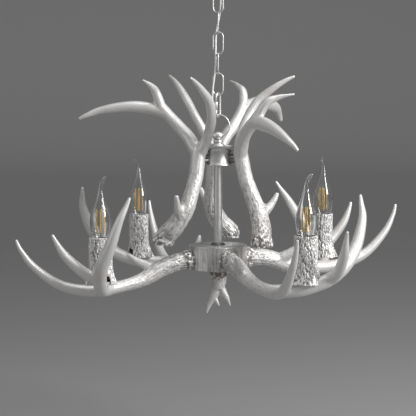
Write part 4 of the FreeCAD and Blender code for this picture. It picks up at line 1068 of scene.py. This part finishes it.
@dataclass
class Finial:
    """The small antler tip under the hub."""

    skin: AntlerSkin
    seed: float = 7.7

    def build(self) -> None:
        """Grows and dresses the finial."""
        trunk = ((0, 0, 4, 13), (0, 0, 0, 14.5), (1, 0, -8, 14.8), (1, 0, -18, 13), (-1, 0, -30, 10))
        left = ((0, 0, -24, 8.5), (-6, 0, -39, 7.5), (-12, 1, -52, 5.5), (-17, 1, -64, 3.4), (-19, 1, -73, 1))
        short = ((-8, 0, -43, 5.5), (-3, -1, -51, 3.6), (1.6, -2, -60, 1))
        right = ((1, 0, -22, 8.5), (9, 1, -37, 6.5), (15, 1, -47, 4.6), (19, 1, -56, 2.4), (21, 1, -61, 1))
        place = Matrix.Translation((0, 0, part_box("hub_bottom")[0].z))
        branches = [Branch(trunk, 1.0, 0.8, burr=True), Branch(left, 0.6, 0.0), Branch(short), Branch(right, 0.6, 0.0)]
        self.skin.grow("finial_skin", branches, place, self.seed, "finial_antler")


# ---------------------------------------------------------------------------------------------------
# Candles
# ---------------------------------------------------------------------------------------------------
CRACKS = Grain(250.0, 4.0, 0.6)
CRACK_SHAPE = Ramp(0.0, 0.075, -0.8, 0.2)
WRINKLES = Grain(680.0, 3.0, 0.6)
WRINKLE_SHARE = 2.6
BARK_LUMPS = Grain(75.0, 2.0, 0.5)
BARK_LUMP_MEAN = 0.42
FOOT_RAMP = Ramp(0.0, 0.8, 0.12, 1.0)


def bark_tree() -> NodeGroup:
    """Geometry nodes that turn a plain sleeve into one with cracked bark outside.

    The "bark" attribute of the sleeve, 1 outside and 0 inside, says where the bark grows.

    Returns:
        The tree.
    """
    tree, given = new_tree("bark_relief", "Geometry", {
        "Geometry": "Geometry", "Voxel": "Float", "Band": "Float", "Axis": "Vector", "Wrap Radius": "Float",
        "Grain Stretch": "Float", "Crack Depth": "Float", "Lump Height": "Float", "Foot Height": "Float",
        "Seed": "Float", "Paint": "Material",
    }, MESH_OUTPUT)
    cloud = tree.add("GeometryNodeMeshToVolume", {
        "Mesh": given["Geometry"], "Voxel Size": given["Voxel"], "Interior Band Width": given["Band"]},
        resolution_mode="VOXEL_SIZE").outputs[0]
    skin = tree.add("GeometryNodeVolumeToMesh", {"Volume": cloud, "Threshold": 0.5}).outputs[0]
    position = tree.add("GeometryNodeInputPosition").outputs[0]
    bark = tree.add("GeometryNodeSampleNearestSurface", {
        "Mesh": given["Geometry"], "Value": tree.named("bark", "FLOAT"), "Sample Position": position},
        data_type="FLOAT").outputs["Value"]
    local = tree.vector("SUBTRACT", position, given["Axis"])
    flat = tree.vector("NORMALIZE", tree.vector("MULTIPLY", local, (1.0, 1.0, 0.0)))
    height = tree.vector("DOT_PRODUCT", local, (0.0, 0.0, 1.0))
    grain = tree.vector("ADD", tree.scaled(flat, given["Wrap Radius"]),
                        tree.combine(given["Seed"], 0.0, tree.times(height, given["Grain Stretch"])))
    skin = tree.stored(skin, "grain", grain, "FLOAT_VECTOR")
    skin = tree.stored(tree.stored(skin, "bark", bark), "rough", bark)

    grain = tree.named("grain", "FLOAT_VECTOR")
    bark = tree.named("bark", "FLOAT")
    cracks = tree.remap(tree.math("ABSOLUTE", tree.swing(grain, CRACKS)), CRACK_SHAPE)
    wrinkles = tree.times(tree.swing(grain, WRINKLES), WRINKLE_SHARE)
    relief = tree.times(tree.plus(cracks, wrinkles), given["Crack Depth"])
    seeded = tree.vector("ADD", local, tree.combine(given["Seed"], 0.0, 0.0))
    lumps = tree.minus(tree.noise(seeded, BARK_LUMPS), BARK_LUMP_MEAN)
    low = tree.remap(tree.minus(1.0, tree.math("DIVIDE", height, given["Foot Height"])), FOOT_RAMP)
    lumps = tree.times(lumps, tree.times(given["Lump Height"], low))
    moved = tree.times(tree.plus(relief, lumps), bark)
    # the relief of the cracks is kept for the paint, which darkens them with painted shade
    skin = tree.stored(skin, "relief", tree.times(tree.math("DIVIDE", relief, given["Crack Depth"]), bark))
    normal = tree.add("GeometryNodeInputNormal").outputs[0]
    skin = tree.add("GeometryNodeSetPosition", {"Geometry": skin, "Offset": tree.scaled(normal, moved)}).outputs[0]
    return tree.close(skin, given["Paint"])


def lathed(name: str, rings: Iterable[Iterable[Vector]], closed: bool = True) -> Thing:
    """An object made of a grid of faces through rings of points.

    Args:
        name: its name.
        rings: rings with as many points each, in order.
        closed: whether the last ring joins the first, or both ends get a face.

    Returns:
        The object, with its normals turned outwards.
    """
    work = bmesh.new()
    rows = belts(work, rings)
    if closed:
        belt(work, rows[-1], rows[0])
    else:
        work.faces.new(list(reversed(rows[0])))
        work.faces.new(rows[-1])
    bmesh.ops.recalc_face_normals(work, faces=work.faces)
    return modelled(name, work)


@dataclass(frozen=True)
class BarkSizes:
    """Sizes of the bark relief in mm."""

    voxel: float = 0.85
    quick_voxel: float = 1.5
    band: float = 1.0
    wrap_radius: float = 17.5
    grain_stretch: float = 0.24
    crack_depth: float = 1.6
    lump_height: float = 3.0
    foot_height: float = 30.0

    def voxel_now(self) -> float:
        """The voxel for this run."""
        return self.voxel


@dataclass
class CandleSleeves:
    """The four bark sleeves with their arched openings."""

    bark: BarkSizes = field(default_factory=BarkSizes)
    steps: int = 96
    rows: int = 44
    foot_radius: float = 25.5
    foot_wall: float = 3.6
    bore: float = 14.3
    bore_foot: float = 30.0
    flare: float = 30.0
    flare_power: float = 1.7
    bore_power: float = 1.6
    lobes: int = 5
    lobe_waver: float = 1.1
    lobe_height: float = 2.9
    arch_radius: float = 9.0
    arch_rise: float = 6.5
    arch_foot: float = -8.0
    arch_steps: int = 12
    arch_reach: tuple[float, float] = (6.0, 40.0)
    sink: float = 1.2
    first_seed: float = 1.3
    seed_step: float = 0.6
    headings: dict[str, float] = field(default_factory=lambda: {
        "left": 298.0, "front": 30.0, "right": 121.0, "rear": 211.0})
    tops: dict[str, float] = field(default_factory=lambda: {"left": 19.3, "front": 19.3, "right": 17.2, "rear": 17.2})

    def outer(self, top: float, height: float, angle: float) -> float:
        """Outer radius of a sleeve.

        Args:
            top: its radius at the top.
            height: height above its foot.
            angle: angle round it in radians.

        Returns:
            The radius there.
        """
        foot = max(0.0, 1 - height / self.flare)
        lobes = math.cos(self.lobes * angle + self.lobe_waver * math.sin(2 * angle)) * self.lobe_height * foot
        return top + (self.foot_radius - top) * foot ** self.flare_power + lobes

    def inner(self, top: float, height: float, angle: float) -> float:
        """Bore radius of a sleeve.

        Args:
            top: its outer radius at the top.
            height: height above its foot.
            angle: angle round it in radians.

        Returns:
            The radius there.
        """
        foot = max(0.0, 1 - height / self.bore_foot)
        room = self.outer(top, height, angle) - self.foot_wall
        widest = self.foot_radius - self.foot_wall
        return max(self.bore, min(room, self.bore + (widest - self.bore) * foot ** self.bore_power))

    def shell(self, name: str, spot: Vector, height: float, top: float) -> Thing:
        """The plain closed sleeve, before its arch and its bark.

        Args:
            name: the piece's name.
            spot: the middle of its foot, in metres.
            height: its height.
            top: its outer radius at the top.

        Returns:
            The sleeve, whose "bark" attribute is 1 outside and 0 inside.
        """
        levels = [height * row / self.rows for row in range(self.rows + 1)]
        angles = angles_round(self.steps)
        rings = []
        for radius, heights in ((self.outer, levels), (self.inner, levels[::-1])):
            for level in heights:
                sizes = [radius(top, level, a) for a in angles]
                rings.append([spot + Vector((math.cos(a) * size, math.sin(a) * size, level)) * MM
                              for a, size in zip(angles, sizes)])
        sleeve = lathed(name, rings)
        face = len(levels) * self.steps
        bark = sleeve.data.attributes.new("bark", "FLOAT", "POINT")
        bark.data.foreach_set("value", [1.0] * face + [0.0] * face)
        return sleeve

    def arch(self, spot: Vector, heading: float) -> Thing:
        """The cutter of an arched opening.

        Args:
            spot: the middle of the sleeve's foot, in metres.
            heading: where the opening looks, in degrees.

        Returns:
            The cutter, which reaches outwards from near the sleeve's axis.
        """
        angles = [math.pi * (1 - step / self.arch_steps) for step in range(self.arch_steps + 1)]
        profile = [(-self.arch_radius, self.arch_foot),
                   *((self.arch_radius * math.cos(a), self.arch_rise + self.arch_radius * math.sin(a)) for a in angles),
                   (self.arch_radius, self.arch_foot)]
        turned = turn("Z", heading)
        rings = [[spot + turned @ (Vector((out, across, up)) * MM) for across, up in profile]
                 for out in self.arch_reach]
        return lathed("arch_cutter", rings, closed=False)

    def build(self) -> None:
        """Makes and dresses the four sleeves."""
        tree = bark_tree()
        bark = self.bark
        for number, (name, heading) in enumerate(self.headings.items()):
            low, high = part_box(f"candle_sleeve_{name}")
            middle = middle_of(f"lamp_holder_{name}")
            spot = Vector((middle.x, middle.y, low.z - self.sink * MM))
            sleeve = self.shell(f"bark_sleeve_{name}", spot, (high.z - spot.z) / MM, self.tops[name])
            cutter = self.arch(Vector((middle.x, middle.y, low.z)), heading)
            carve = sleeve.modifiers.new("arch", "BOOLEAN")
            carve.object = cutter
            carve.operation = "DIFFERENCE"
            carve.solver = "EXACT"
            baked(sleeve)
            bpy.data.objects.remove(cutter)
            with_tree(sleeve, tree, Voxel=bark.voxel_now() * MM, Band=bark.band * MM, Axis=spot,
                      Wrap_Radius=bark.wrap_radius * MM, Grain_Stretch=bark.grain_stretch,
                      Crack_Depth=bark.crack_depth * MM, Lump_Height=bark.lump_height * MM,
                      Foot_Height=bark.foot_height * MM, Seed=self.first_seed + number * self.seed_step,
                      Paint=BARK_PAINT.material())
            dressed(sleeve, BARK_PAINT, "fixture", [f"candle_sleeve_{name}"])


@dataclass(frozen=True)
class Rod:
    """One upright round rod in mm: its middle, its ends' heights and its radius."""

    x: float
    y: float
    low: float
    high: float
    radius: float


@dataclass
class Bulbs:
    """The clear bulbs with bent tips, their amber filaments and the glass stem that carries them."""

    sides: int = 40
    wall: float = 0.9
    thinnest: float = 0.25
    steps: int = 5
    solid_tip: int = 10
    glass_crease: float = 50.0
    rod_sides: int = 20
    rod_crease: float = 40.0
    rod_end: float = 0.3
    rod_end_share: float = 0.7
    filaments: int = 4
    filament_radius: float = 1.05
    filament_offset: float = 6.0
    filament_ends: tuple[float, float] = (18.0, 56.5)
    stem: tuple[Rod, ...] = (Rod(0, 0, 0, 2, 6.4), Rod(0, 0, 1.5, 14, 2.6), Rod(0, 0, 13, 59, 0.8))
    bead_levels: tuple[float, float] = (16.8, 57)
    bead_height: float = 0.8
    bead_radius: float = 0.9
    beads: int = 3
    tips: dict[str, float] = field(default_factory=lambda: {"left": 0, "front": 10, "right": 100, "rear": 170})
    profile: tuple[tuple[float, float, float], ...] = (
        (0, 0, 7.9), (0, 5, 10.6), (0, 12, 13.4), (0, 24, 16.3), (0, 37, 17.3), (0, 48, 16.0), (0, 58, 13.0),
        (0, 67, 9.8), (0, 76, 7.0), (0, 85, 4.8), (0.4, 92, 3.7), (1.8, 98, 3.2), (4.4, 103.5, 2.9),
        (7.6, 107.6, 2.6), (9.6, 109.4, 1.6))

    def smooth(self) -> list[tuple[float, float, float]]:
        """Puts smooth steps between the rows of the glass's profile.

        Returns:
            (out, up, radius) rows from the foot to the bent tip.
        """
        ends = [self.profile[0], *self.profile, self.profile[-1]]
        shares = [step / self.steps for step in range(self.steps)]
        rows = [tuple(between(*values, share) for values in zip(*four))
                for four in zip(ends, ends[1:], ends[2:], ends[3:]) for share in shares]
        return [*rows, self.profile[-1]]

    def rings(self, place: Matrix, inset: float, rows: Sequence[tuple[float, float, float]]) -> list[list[Vector]]:
        """Rings of points round the glass's bent axis.

        Args:
            place: the bulb's foot.
            inset: how far the rings lie inside the rows' radii.
            rows: (out, up, radius) rows.

        Returns:
            A ring for each row.
        """
        rings = []
        for number, (out, up, radius) in enumerate(rows):
            before, after = rows[max(number - 1, 0)], rows[min(number + 1, len(rows) - 1)]
            ahead = Vector((after[0] - before[0], 0, after[1] - before[1])).normalized()
            across = Vector((ahead.z, 0, -ahead.x))
            size = max(radius - inset, self.thinnest)
            middle, beside = Vector((out, 0, up)), Vector((0, 1, 0))
            rings.append([place @ ((middle + (across * math.cos(a) + beside * math.sin(a)) * size) * MM)
                          for a in angles_round(self.sides)])
        return rings

    def glass(self, name: str, place: Matrix) -> Thing:
        """The glass: an outer and an inner face joined at the foot and drawn shut at the tip.

        Args:
            name: the piece's name.
            place: the bulb's foot.

        Returns:
            The piece.
        """
        rows = self.smooth()
        work = bmesh.new()
        feet = []
        for inset, part in ((0.0, rows), (self.wall, rows[:-self.solid_tip])):
            grid = belts(work, self.rings(place, inset, part))
            work.faces.new(grid[-1])
            feet.append(grid[0])
        belt(work, *feet)
        bmesh.ops.recalc_face_normals(work, faces=work.faces)
        return smooth_shaded(modelled(name, work), self.glass_crease)

    def rods(self, name: str, place: Matrix, rows: Iterable[Rod]) -> Thing:
        """Upright round rods with softened ends in one mesh.

        Args:
            name: the piece's name.
            place: the bulb's foot.
            rows: the rods.

        Returns:
            The piece.
        """
        work = bmesh.new()
        for rod in rows:
            end = rod.radius * self.rod_end_share
            profile = [(rod.low, end), (rod.low + self.rod_end, rod.radius), (rod.high - self.rod_end, rod.radius),
                       (rod.high, end)]
            grid = belts(work, ([place @ (Vector((rod.x + size * math.cos(a), rod.y + size * math.sin(a), level)) * MM)
                                 for a in angles_round(self.rod_sides)] for level, size in profile))
            work.faces.new(list(reversed(grid[0])))
            work.faces.new(grid[-1])
        return smooth_shaded(modelled(name, work), self.rod_crease)

    def build(self) -> None:
        """Makes and dresses glass, filaments and stem of each bulb."""
        spots = [turn("Z", 360 * number / self.filaments) @ Vector((self.filament_offset, 0, 0))
                 for number in range(self.filaments)]
        threads = [Rod(spot.x, spot.y, *self.filament_ends, self.filament_radius) for spot in spots]
        posts = [*self.stem, *(
            Rod(spot.x * k / self.beads, spot.y * k / self.beads, level, level + self.bead_height, self.bead_radius)
            for spot in spots for k in range(1, self.beads + 1) for level in self.bead_levels)]
        for name, heading in self.tips.items():
            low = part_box(f"bulb_glass_{name}")[0]
            middle = middle_of(f"bulb_base_{name}")
            place = Matrix.Translation((middle.x, middle.y, low.z)) @ turn("Z", heading)
            for piece, finish, slot, part in (
                    (self.glass(f"glass_flame_{name}", place), GLASS, "clear_glass", "glass"),
                    (self.rods(f"glowing_threads_{name}", place, threads), AMBER, "amber_filament", "filaments"),
                    (self.rods(f"glass_stem_{name}", place, posts), STEM_GLASS, "clear_glass", "filaments")):
                dressed(piece, finish, f"bulb_{name}", [f"bulb_{part}_{name}"])


# ---------------------------------------------------------------------------------------------------
# Metal stack, chain and cord
# ---------------------------------------------------------------------------------------------------
class Way(Enum):
    """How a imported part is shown."""

    AS_PACKED = "as packed"
    SMOOTH = "smooth copy"
    SOFT_EDGES = "smooth copy with softened edges"


@dataclass
class MetalStack:
    """Every turned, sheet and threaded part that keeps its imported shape."""

    edge: float = 0.35

    def looks(self) -> list[tuple[str, Finish, str, Way]]:
        """Lists how the parts are shown.

        Returns:
            (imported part, finish, slot, way) of each.
        """
        lamps = ("left", "front", "right", "rear")
        rows: list[tuple[str, Finish, str, Way]] = [
            ("ceiling_bracket", ZINC, "zinc_steel", Way.AS_PACKED),
            ("nipple_nut", ZINC, "zinc_steel", Way.AS_PACKED),
            ("canopy_nipple", ZINC, "zinc_steel", Way.AS_PACKED),
            ("canopy", NICKEL, "nickel_trim", Way.SMOOTH),
            ("canopy_grommet", RUBBER, "rubber", Way.AS_PACKED),
            ("canopy_collar", ROD_NICKEL, "nickel_trim", Way.SOFT_EDGES),
            ("canopy_loop", CHAIN_STEEL, "chain_steel", Way.SMOOTH),
            ("quick_link", CHAIN_STEEL, "chain_steel", Way.SMOOTH),
            ("quick_link_nut", CHAIN_STEEL, "chain_steel", Way.SOFT_EDGES),
            ("fixture_ring", CHAIN_STEEL, "chain_steel", Way.SMOOTH),
            ("loop_stem", NICKEL, "nickel_trim", Way.SMOOTH),
            ("flared_cap", NICKEL, "nickel_trim", Way.SOFT_EDGES),
            ("cap_grommet", RUBBER, "rubber", Way.AS_PACKED),
            ("cap_spacers", SHADED_NICKEL, "nickel_trim", Way.AS_PACKED),
            ("upper_antler_screws", ZINC, "zinc_steel", Way.AS_PACKED),
            ("lower_antler_screws", ZINC, "zinc_steel", Way.AS_PACKED),
            ("centre_rod", ROD_NICKEL, "nickel_trim", Way.SMOOTH),
            ("rod_washer", SHADED_NICKEL, "nickel_trim", Way.SOFT_EDGES),
            ("tie_rod", ZINC, "zinc_steel", Way.AS_PACKED),
            ("tie_rod_nuts", ZINC, "zinc_steel", Way.AS_PACKED),
            ("hub_shell", HUB_NICKEL, "nickel_trim", Way.SMOOTH),
            ("hub_lid", NICKEL, "nickel_trim", Way.SOFT_EDGES),
            ("hub_bottom", HUB_NICKEL, "nickel_trim", Way.SOFT_EDGES),
            ("candle_pans", ZINC, "zinc_steel", Way.AS_PACKED),
            ("candle_nipples", ZINC, "zinc_steel", Way.AS_PACKED),
        ]
        rows += [(f"lamp_holder_{name}", HOLDER, "holder_plastic", Way.SOFT_EDGES) for name in lamps]
        rows += [(f"bulb_base_{name}", BRASS, "bulb_brass", Way.SMOOTH) for name in lamps]
        return rows

    def build(self) -> None:
        """Dresses each part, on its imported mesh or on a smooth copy."""
        for node, finish, slot, way in self.looks():
            packed = bpy.data.objects[node]
            if way is Way.AS_PACKED:
                packed.data.materials.clear()
                packed.data.materials.append(finish.material())
                continue
            bevel = self.edge if way is Way.SOFT_EDGES else 0.0
            dressed(merged_copy(node, f"{node}_finished", bevel), finish, packed["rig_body"], [node])


BEND_STEPS = 14
WIRE_SIDES = 16
WELD_RINGS = 10
WELD_SWELL = 1.25


def link_tree() -> NodeGroup:
    """Geometry nodes for one welded chain link: a rounded loop of wire with a small weld on one side.

    Returns:
        The tree.
    """
    tree, given = new_tree("chain_link", "Geometry", {
        "Geometry": "Geometry", "Half Width": "Float", "Length": "Float", "Wire Radius": "Float",
        "Middle": "Vector", "Turn": "Float", "Metal": "Material",
    }, MESH_OUTPUT)
    frame = tree.add("GeometryNodeCurvePrimitiveQuadrilateral", {
        "Width": tree.times(given["Half Width"], 2.0), "Height": given["Length"]}).outputs[0]
    loop = tree.add("GeometryNodeFilletCurve", {"Curve": frame, "Count": BEND_STEPS, "Radius": given["Half Width"],
                                                "Limit Radius": True}, mode="POLY").outputs[0]
    ring = tree.add("GeometryNodeCurvePrimitiveCircle", {
        "Resolution": WIRE_SIDES, "Radius": given["Wire Radius"]}).outputs[0]
    wire = tree.add("GeometryNodeCurveToMesh", {"Curve": loop, "Profile Curve": ring}).outputs[0]
    weld = tree.add("GeometryNodeMeshUVSphere", {"Segments": WIRE_SIDES, "Rings": WELD_RINGS,
                                                 "Radius": tree.times(given["Wire Radius"], WELD_SWELL)}).outputs[0]
    beside = tree.add("GeometryNodeTransform", {
        "Geometry": weld, "Translation": tree.combine(given["Half Width"], 0.0, 0.0)}).outputs[0]
    both = tree.add("GeometryNodeJoinGeometry")
    for part in (wire, beside):
        tree.feed(both.inputs[0], part)
    upright = tree.add("GeometryNodeTransform", {
        "Geometry": both.outputs[0], "Rotation": (math.pi / 2, 0.0, 0.0)}).outputs[0]
    turned = tree.add("GeometryNodeTransform", {
        "Geometry": upright, "Translation": given["Middle"],
        "Rotation": tree.combine(0.0, 0.0, given["Turn"])}).outputs[0]
    return tree.close(turned, given["Metal"])


@dataclass
class Chain:
    """The welded links from the canopy's loop to the quick link."""

    count: int = 6
    wire: float = 1.1

    def build(self) -> None:
        """Makes and dresses each link on its own body."""
        tree = link_tree()
        wire = self.wire * MM
        for number in range(1, self.count + 1):
            low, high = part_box(f"chain_link_{number}")
            size = high - low
            name = f"welded_link_{number}"
            link = placed(name, bpy.data.meshes.new(name))
            with_tree(link, tree, Half_Width=max(size.x, size.y) / 2 - wire, Middle=(low + high) / 2,
                      Length=size.z - 2 * wire, Wire_Radius=wire, Turn=0.0 if size.x > size.y else math.pi / 2,
                      Metal=CHAIN_STEEL.material())
            dressed(link, CHAIN_STEEL, f"link_{number}", [f"chain_link_{number}"])


def curve_mesh(data: bpy.types.Curve, kind: str, spots: Sequence[Sequence[float]]) -> bpy.types.Mesh:
    """Draws one line in a curve and reads it as a mesh.

    Args:
        data: the curve, with its thickness set.
        kind: POLY, or NURBS for a smooth route that starts and ends on its outer points.
        spots: the line's points, in metres.

    Returns:
        The mesh.
    """
    data.dimensions = "3D"
    line = data.splines.new(kind)
    line.points.add(len(spots) - 1)
    for point, spot in zip(line.points, spots):
        point.co = (*spot, 1.0)
    if kind == "NURBS":
        line.order_u = 3
        line.use_endpoint_u = True
    thing = placed(data.name, data)
    bpy.context.view_layer.update()
    mesh = bpy.data.meshes.new_from_object(thing)
    bpy.data.objects.remove(thing)
    return mesh


@dataclass
class PowerCord:
    """The clear-jacketed cord that winds down through the chain into the cap.

    The cord is drawn in one piece for each joint of the chain, end to end. The route's points are in metres, with their
    heights above the hub's lid.
    """

    joints: Sequence[dict[str, object]]
    diameter: float = 3.0
    bend: float = 12.0
    route_steps: int = 16
    round_steps: int = 5
    bodies: tuple[str, ...] = ("ceiling", "link_1", "link_2", "link_3", "link_4", "link_5", "link_6", "quick_link",
                               "ring", "fixture")
    route: tuple[tuple[float, float, float], ...] = (
        (-0.016, -0.006, 0.499), (-0.016, -0.006, 0.478), (-0.0054, -0.0046, 0.457), (0.004, -0.0041, 0.4265),
        (0.004, 0.004, 0.392), (-0.004, 0.0041, 0.3575), (-0.0041, -0.004, 0.323), (-0.0052, -0.0044, 0.2885),
        (-0.0096, -0.0054, 0.262), (-0.0096, -0.0069, 0.232), (-0.0126, -0.0072, 0.203), (-0.0144, -0.0066, 0.182),
        (-0.0144, -0.0066, 0.163))

    def points(self) -> list[Vector]:
        """Reads the route's smooth line.

        Returns:
            Its points, from the canopy down, in metres.
        """
        hub_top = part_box("hub_lid")[1].z
        data = bpy.data.curves.new("cord_route", "CURVE")
        data.resolution_u = self.route_steps
        mesh = curve_mesh(data, "NURBS", [(x, y, hub_top + z) for x, y, z in self.route])
        spots = [vertex.co.copy() for vertex in mesh.vertices]
        bpy.data.meshes.remove(mesh)
        return spots

    def tube(self, name: str, spots: Sequence[Vector]) -> Thing:
        """A round tube along a line.

        Args:
            name: the piece's name.
            spots: the line's points, in metres.

        Returns:
            The piece.
        """
        data = bpy.data.curves.new(name, "CURVE")
        data.bevel_depth = self.diameter / 2 * MM
        data.bevel_resolution = self.round_steps
        data.use_fill_caps = True
        mesh = curve_mesh(data, "POLY", spots)
        mesh.materials.clear()
        mesh.shade_smooth()
        return placed(name, mesh)

    def build(self) -> None:
        """Makes each length of the cord, gives it the jacket's material and hides the imported cord."""
        hangs = [joint for joint in self.joints if {joint["parent"], joint["child"]} <= set(self.bodies)]
        heights = [joint["pos_m"][2] for joint in hangs]
        cuts = [(upper + lower) / 2 for upper, lower in zip(heights, heights[1:])]
        spots = self.points()
        for number, joint in enumerate(hangs):
            high = cuts[number - 1] if number else math.inf
            low = cuts[number] if number < len(cuts) else -math.inf
            first = next(k for k, spot in enumerate(spots) if spot.z <= high) - (1 if number else 0)
            last = max(k for k, spot in enumerate(spots) if spot.z >= low)
            part = spots[first:last + 1]
            piece = self.tube(f"cord_length_{number + 1}", part)
            piece.data.materials.append(JACKET.material())
            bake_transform(piece)
            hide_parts("power_cord")


# ---------------------------------------------------------------------------------------------------
# Studio
# ---------------------------------------------------------------------------------------------------
@dataclass(frozen=True)
class Lamp:
    """A soft square lamp: its place and side in metres, and its power in watts."""

    name: str
    spot: tuple[float, float, float]
    side: float
    power: float


@dataclass
class Studio:
    """Camera at the photograph's angle, plain floor and backdrop, and soft lamps.

    The image and the focal length are in pixels. Lengths with "m" in their comment are in metres.
    """

    image: float = 416.0
    focal_px: float = 1776.0
    sensor: float = 36.0
    distance: float = 3000.0
    pitch: float = 5.2
    aim: tuple[float, float, float] = (-17.0, 0.0, 62.5)
    view_end: float = 50.0  # m
    floor_drop: float = 900.0
    floor_front: float = -9.0  # m
    floor_back: float = 7.0  # m
    wall_top: float = 7.0  # m
    side_reach: float = 12.0  # m
    bend: float = 1.5  # m
    bend_steps: int = 12
    bend_crease: float = 60.0
    grey: float = 0.55
    world_strength: float = 0.42
    lamp_aim: tuple[float, float, float] = (0.0, 0.0, -0.45)  # m
    lamps: tuple[Lamp, ...] = (
        Lamp("key_lamp", (2.3, -1.3, 0.7), 1.0, 88), Lamp("top_lamp", (0.3, -0.4, 1.8), 1.4, 24),
        Lamp("side_lamp", (-2.4, -1.2, 0.0), 1.2, 9))

    def camera(self) -> None:
        """Puts the camera where the photograph was taken from."""
        data = bpy.data.cameras.new("camera")
        data.sensor_width = self.sensor
        data.lens = self.focal_px / self.image * self.sensor
        data.clip_end = self.view_end
        camera = placed("camera", data)
        angle = math.radians(self.pitch)
        aim = Vector(self.aim) * MM + Vector((0, 0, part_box("hub_lid")[1].z))
        ahead = Vector((0, math.cos(angle), -math.sin(angle)))
        camera.location = aim - ahead * self.distance * MM
        camera.rotation_euler = (math.radians(90) - angle, 0, 0)
        bpy.context.scene.camera = camera

    def floor(self) -> None:
        """A floor that sweeps up into a backdrop, both well clear of the object."""
        low = -self.floor_drop * MM
        rows = [(self.floor_front, low), (self.floor_back, low)]
        for step in range(1, self.bend_steps):
            angle = math.radians(90 * step / self.bend_steps)
            rows.append((self.floor_back + self.bend * math.sin(angle), low + self.bend * (1 - math.cos(angle))))
        wall = self.floor_back + self.bend
        rows += [(wall, low + self.bend), (wall, self.wall_top)]
        verts = [(side * self.side_reach, y, z) for y, z in rows for side in (-1, 1)]
        faces = [(2 * k, 2 * k + 1, 2 * k + 3, 2 * k + 2) for k in range(len(rows) - 1)]
        mesh = bpy.data.meshes.new("studio_sweep")
        mesh.from_pydata(verts, [], faces)
        sweep = smooth_shaded(placed("studio_sweep", mesh), self.bend_crease)
        sweep.data.materials.append(Backdrop().material())

    def light(self, lamp: Lamp) -> None:
        """Hangs a lamp that points at the middle of the object.

        Args:
            lamp: the lamp.
        """
        data = bpy.data.lights.new(lamp.name, "AREA")
        data.size = lamp.side
        data.energy = lamp.power
        thing = placed(lamp.name, data)
        thing.location = lamp.spot
        way = Vector(self.lamp_aim) - Vector(lamp.spot)
        thing.rotation_euler = way.to_track_quat("-Z", "Y").to_euler()

    def build(self) -> None:
        """Sets up world, floor and lamps."""
        scene = bpy.context.scene
        scene.view_settings.view_transform = "Standard"
        scene.world = bpy.data.worlds.new("studio_world")
        scene.world.use_nodes = True
        background = scene.world.node_tree.nodes["Background"]
        background.inputs["Color"].default_value = opaque((self.grey,) * 3)
        background.inputs["Strength"].default_value = self.world_strength
        self.floor()
        for lamp in self.lamps:
            self.light(lamp)


def main() -> None:
    """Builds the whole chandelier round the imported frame."""
    logging.basicConfig(level=logging.INFO, format="%(message)s")
    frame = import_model()
    studio = Studio()
    studio.camera()
    PowerCord(frame["joints"]).build()
    studio.build()
    skin = AntlerSkin()
    LowerAntlers(skin).build()
    UpperAntlers(skin).build()
    Finial(skin).build()
    CandleSleeves().build()
    Bulbs().build()
    MetalStack().build()
    Chain().build()


if __name__ == "__main__":
    main()
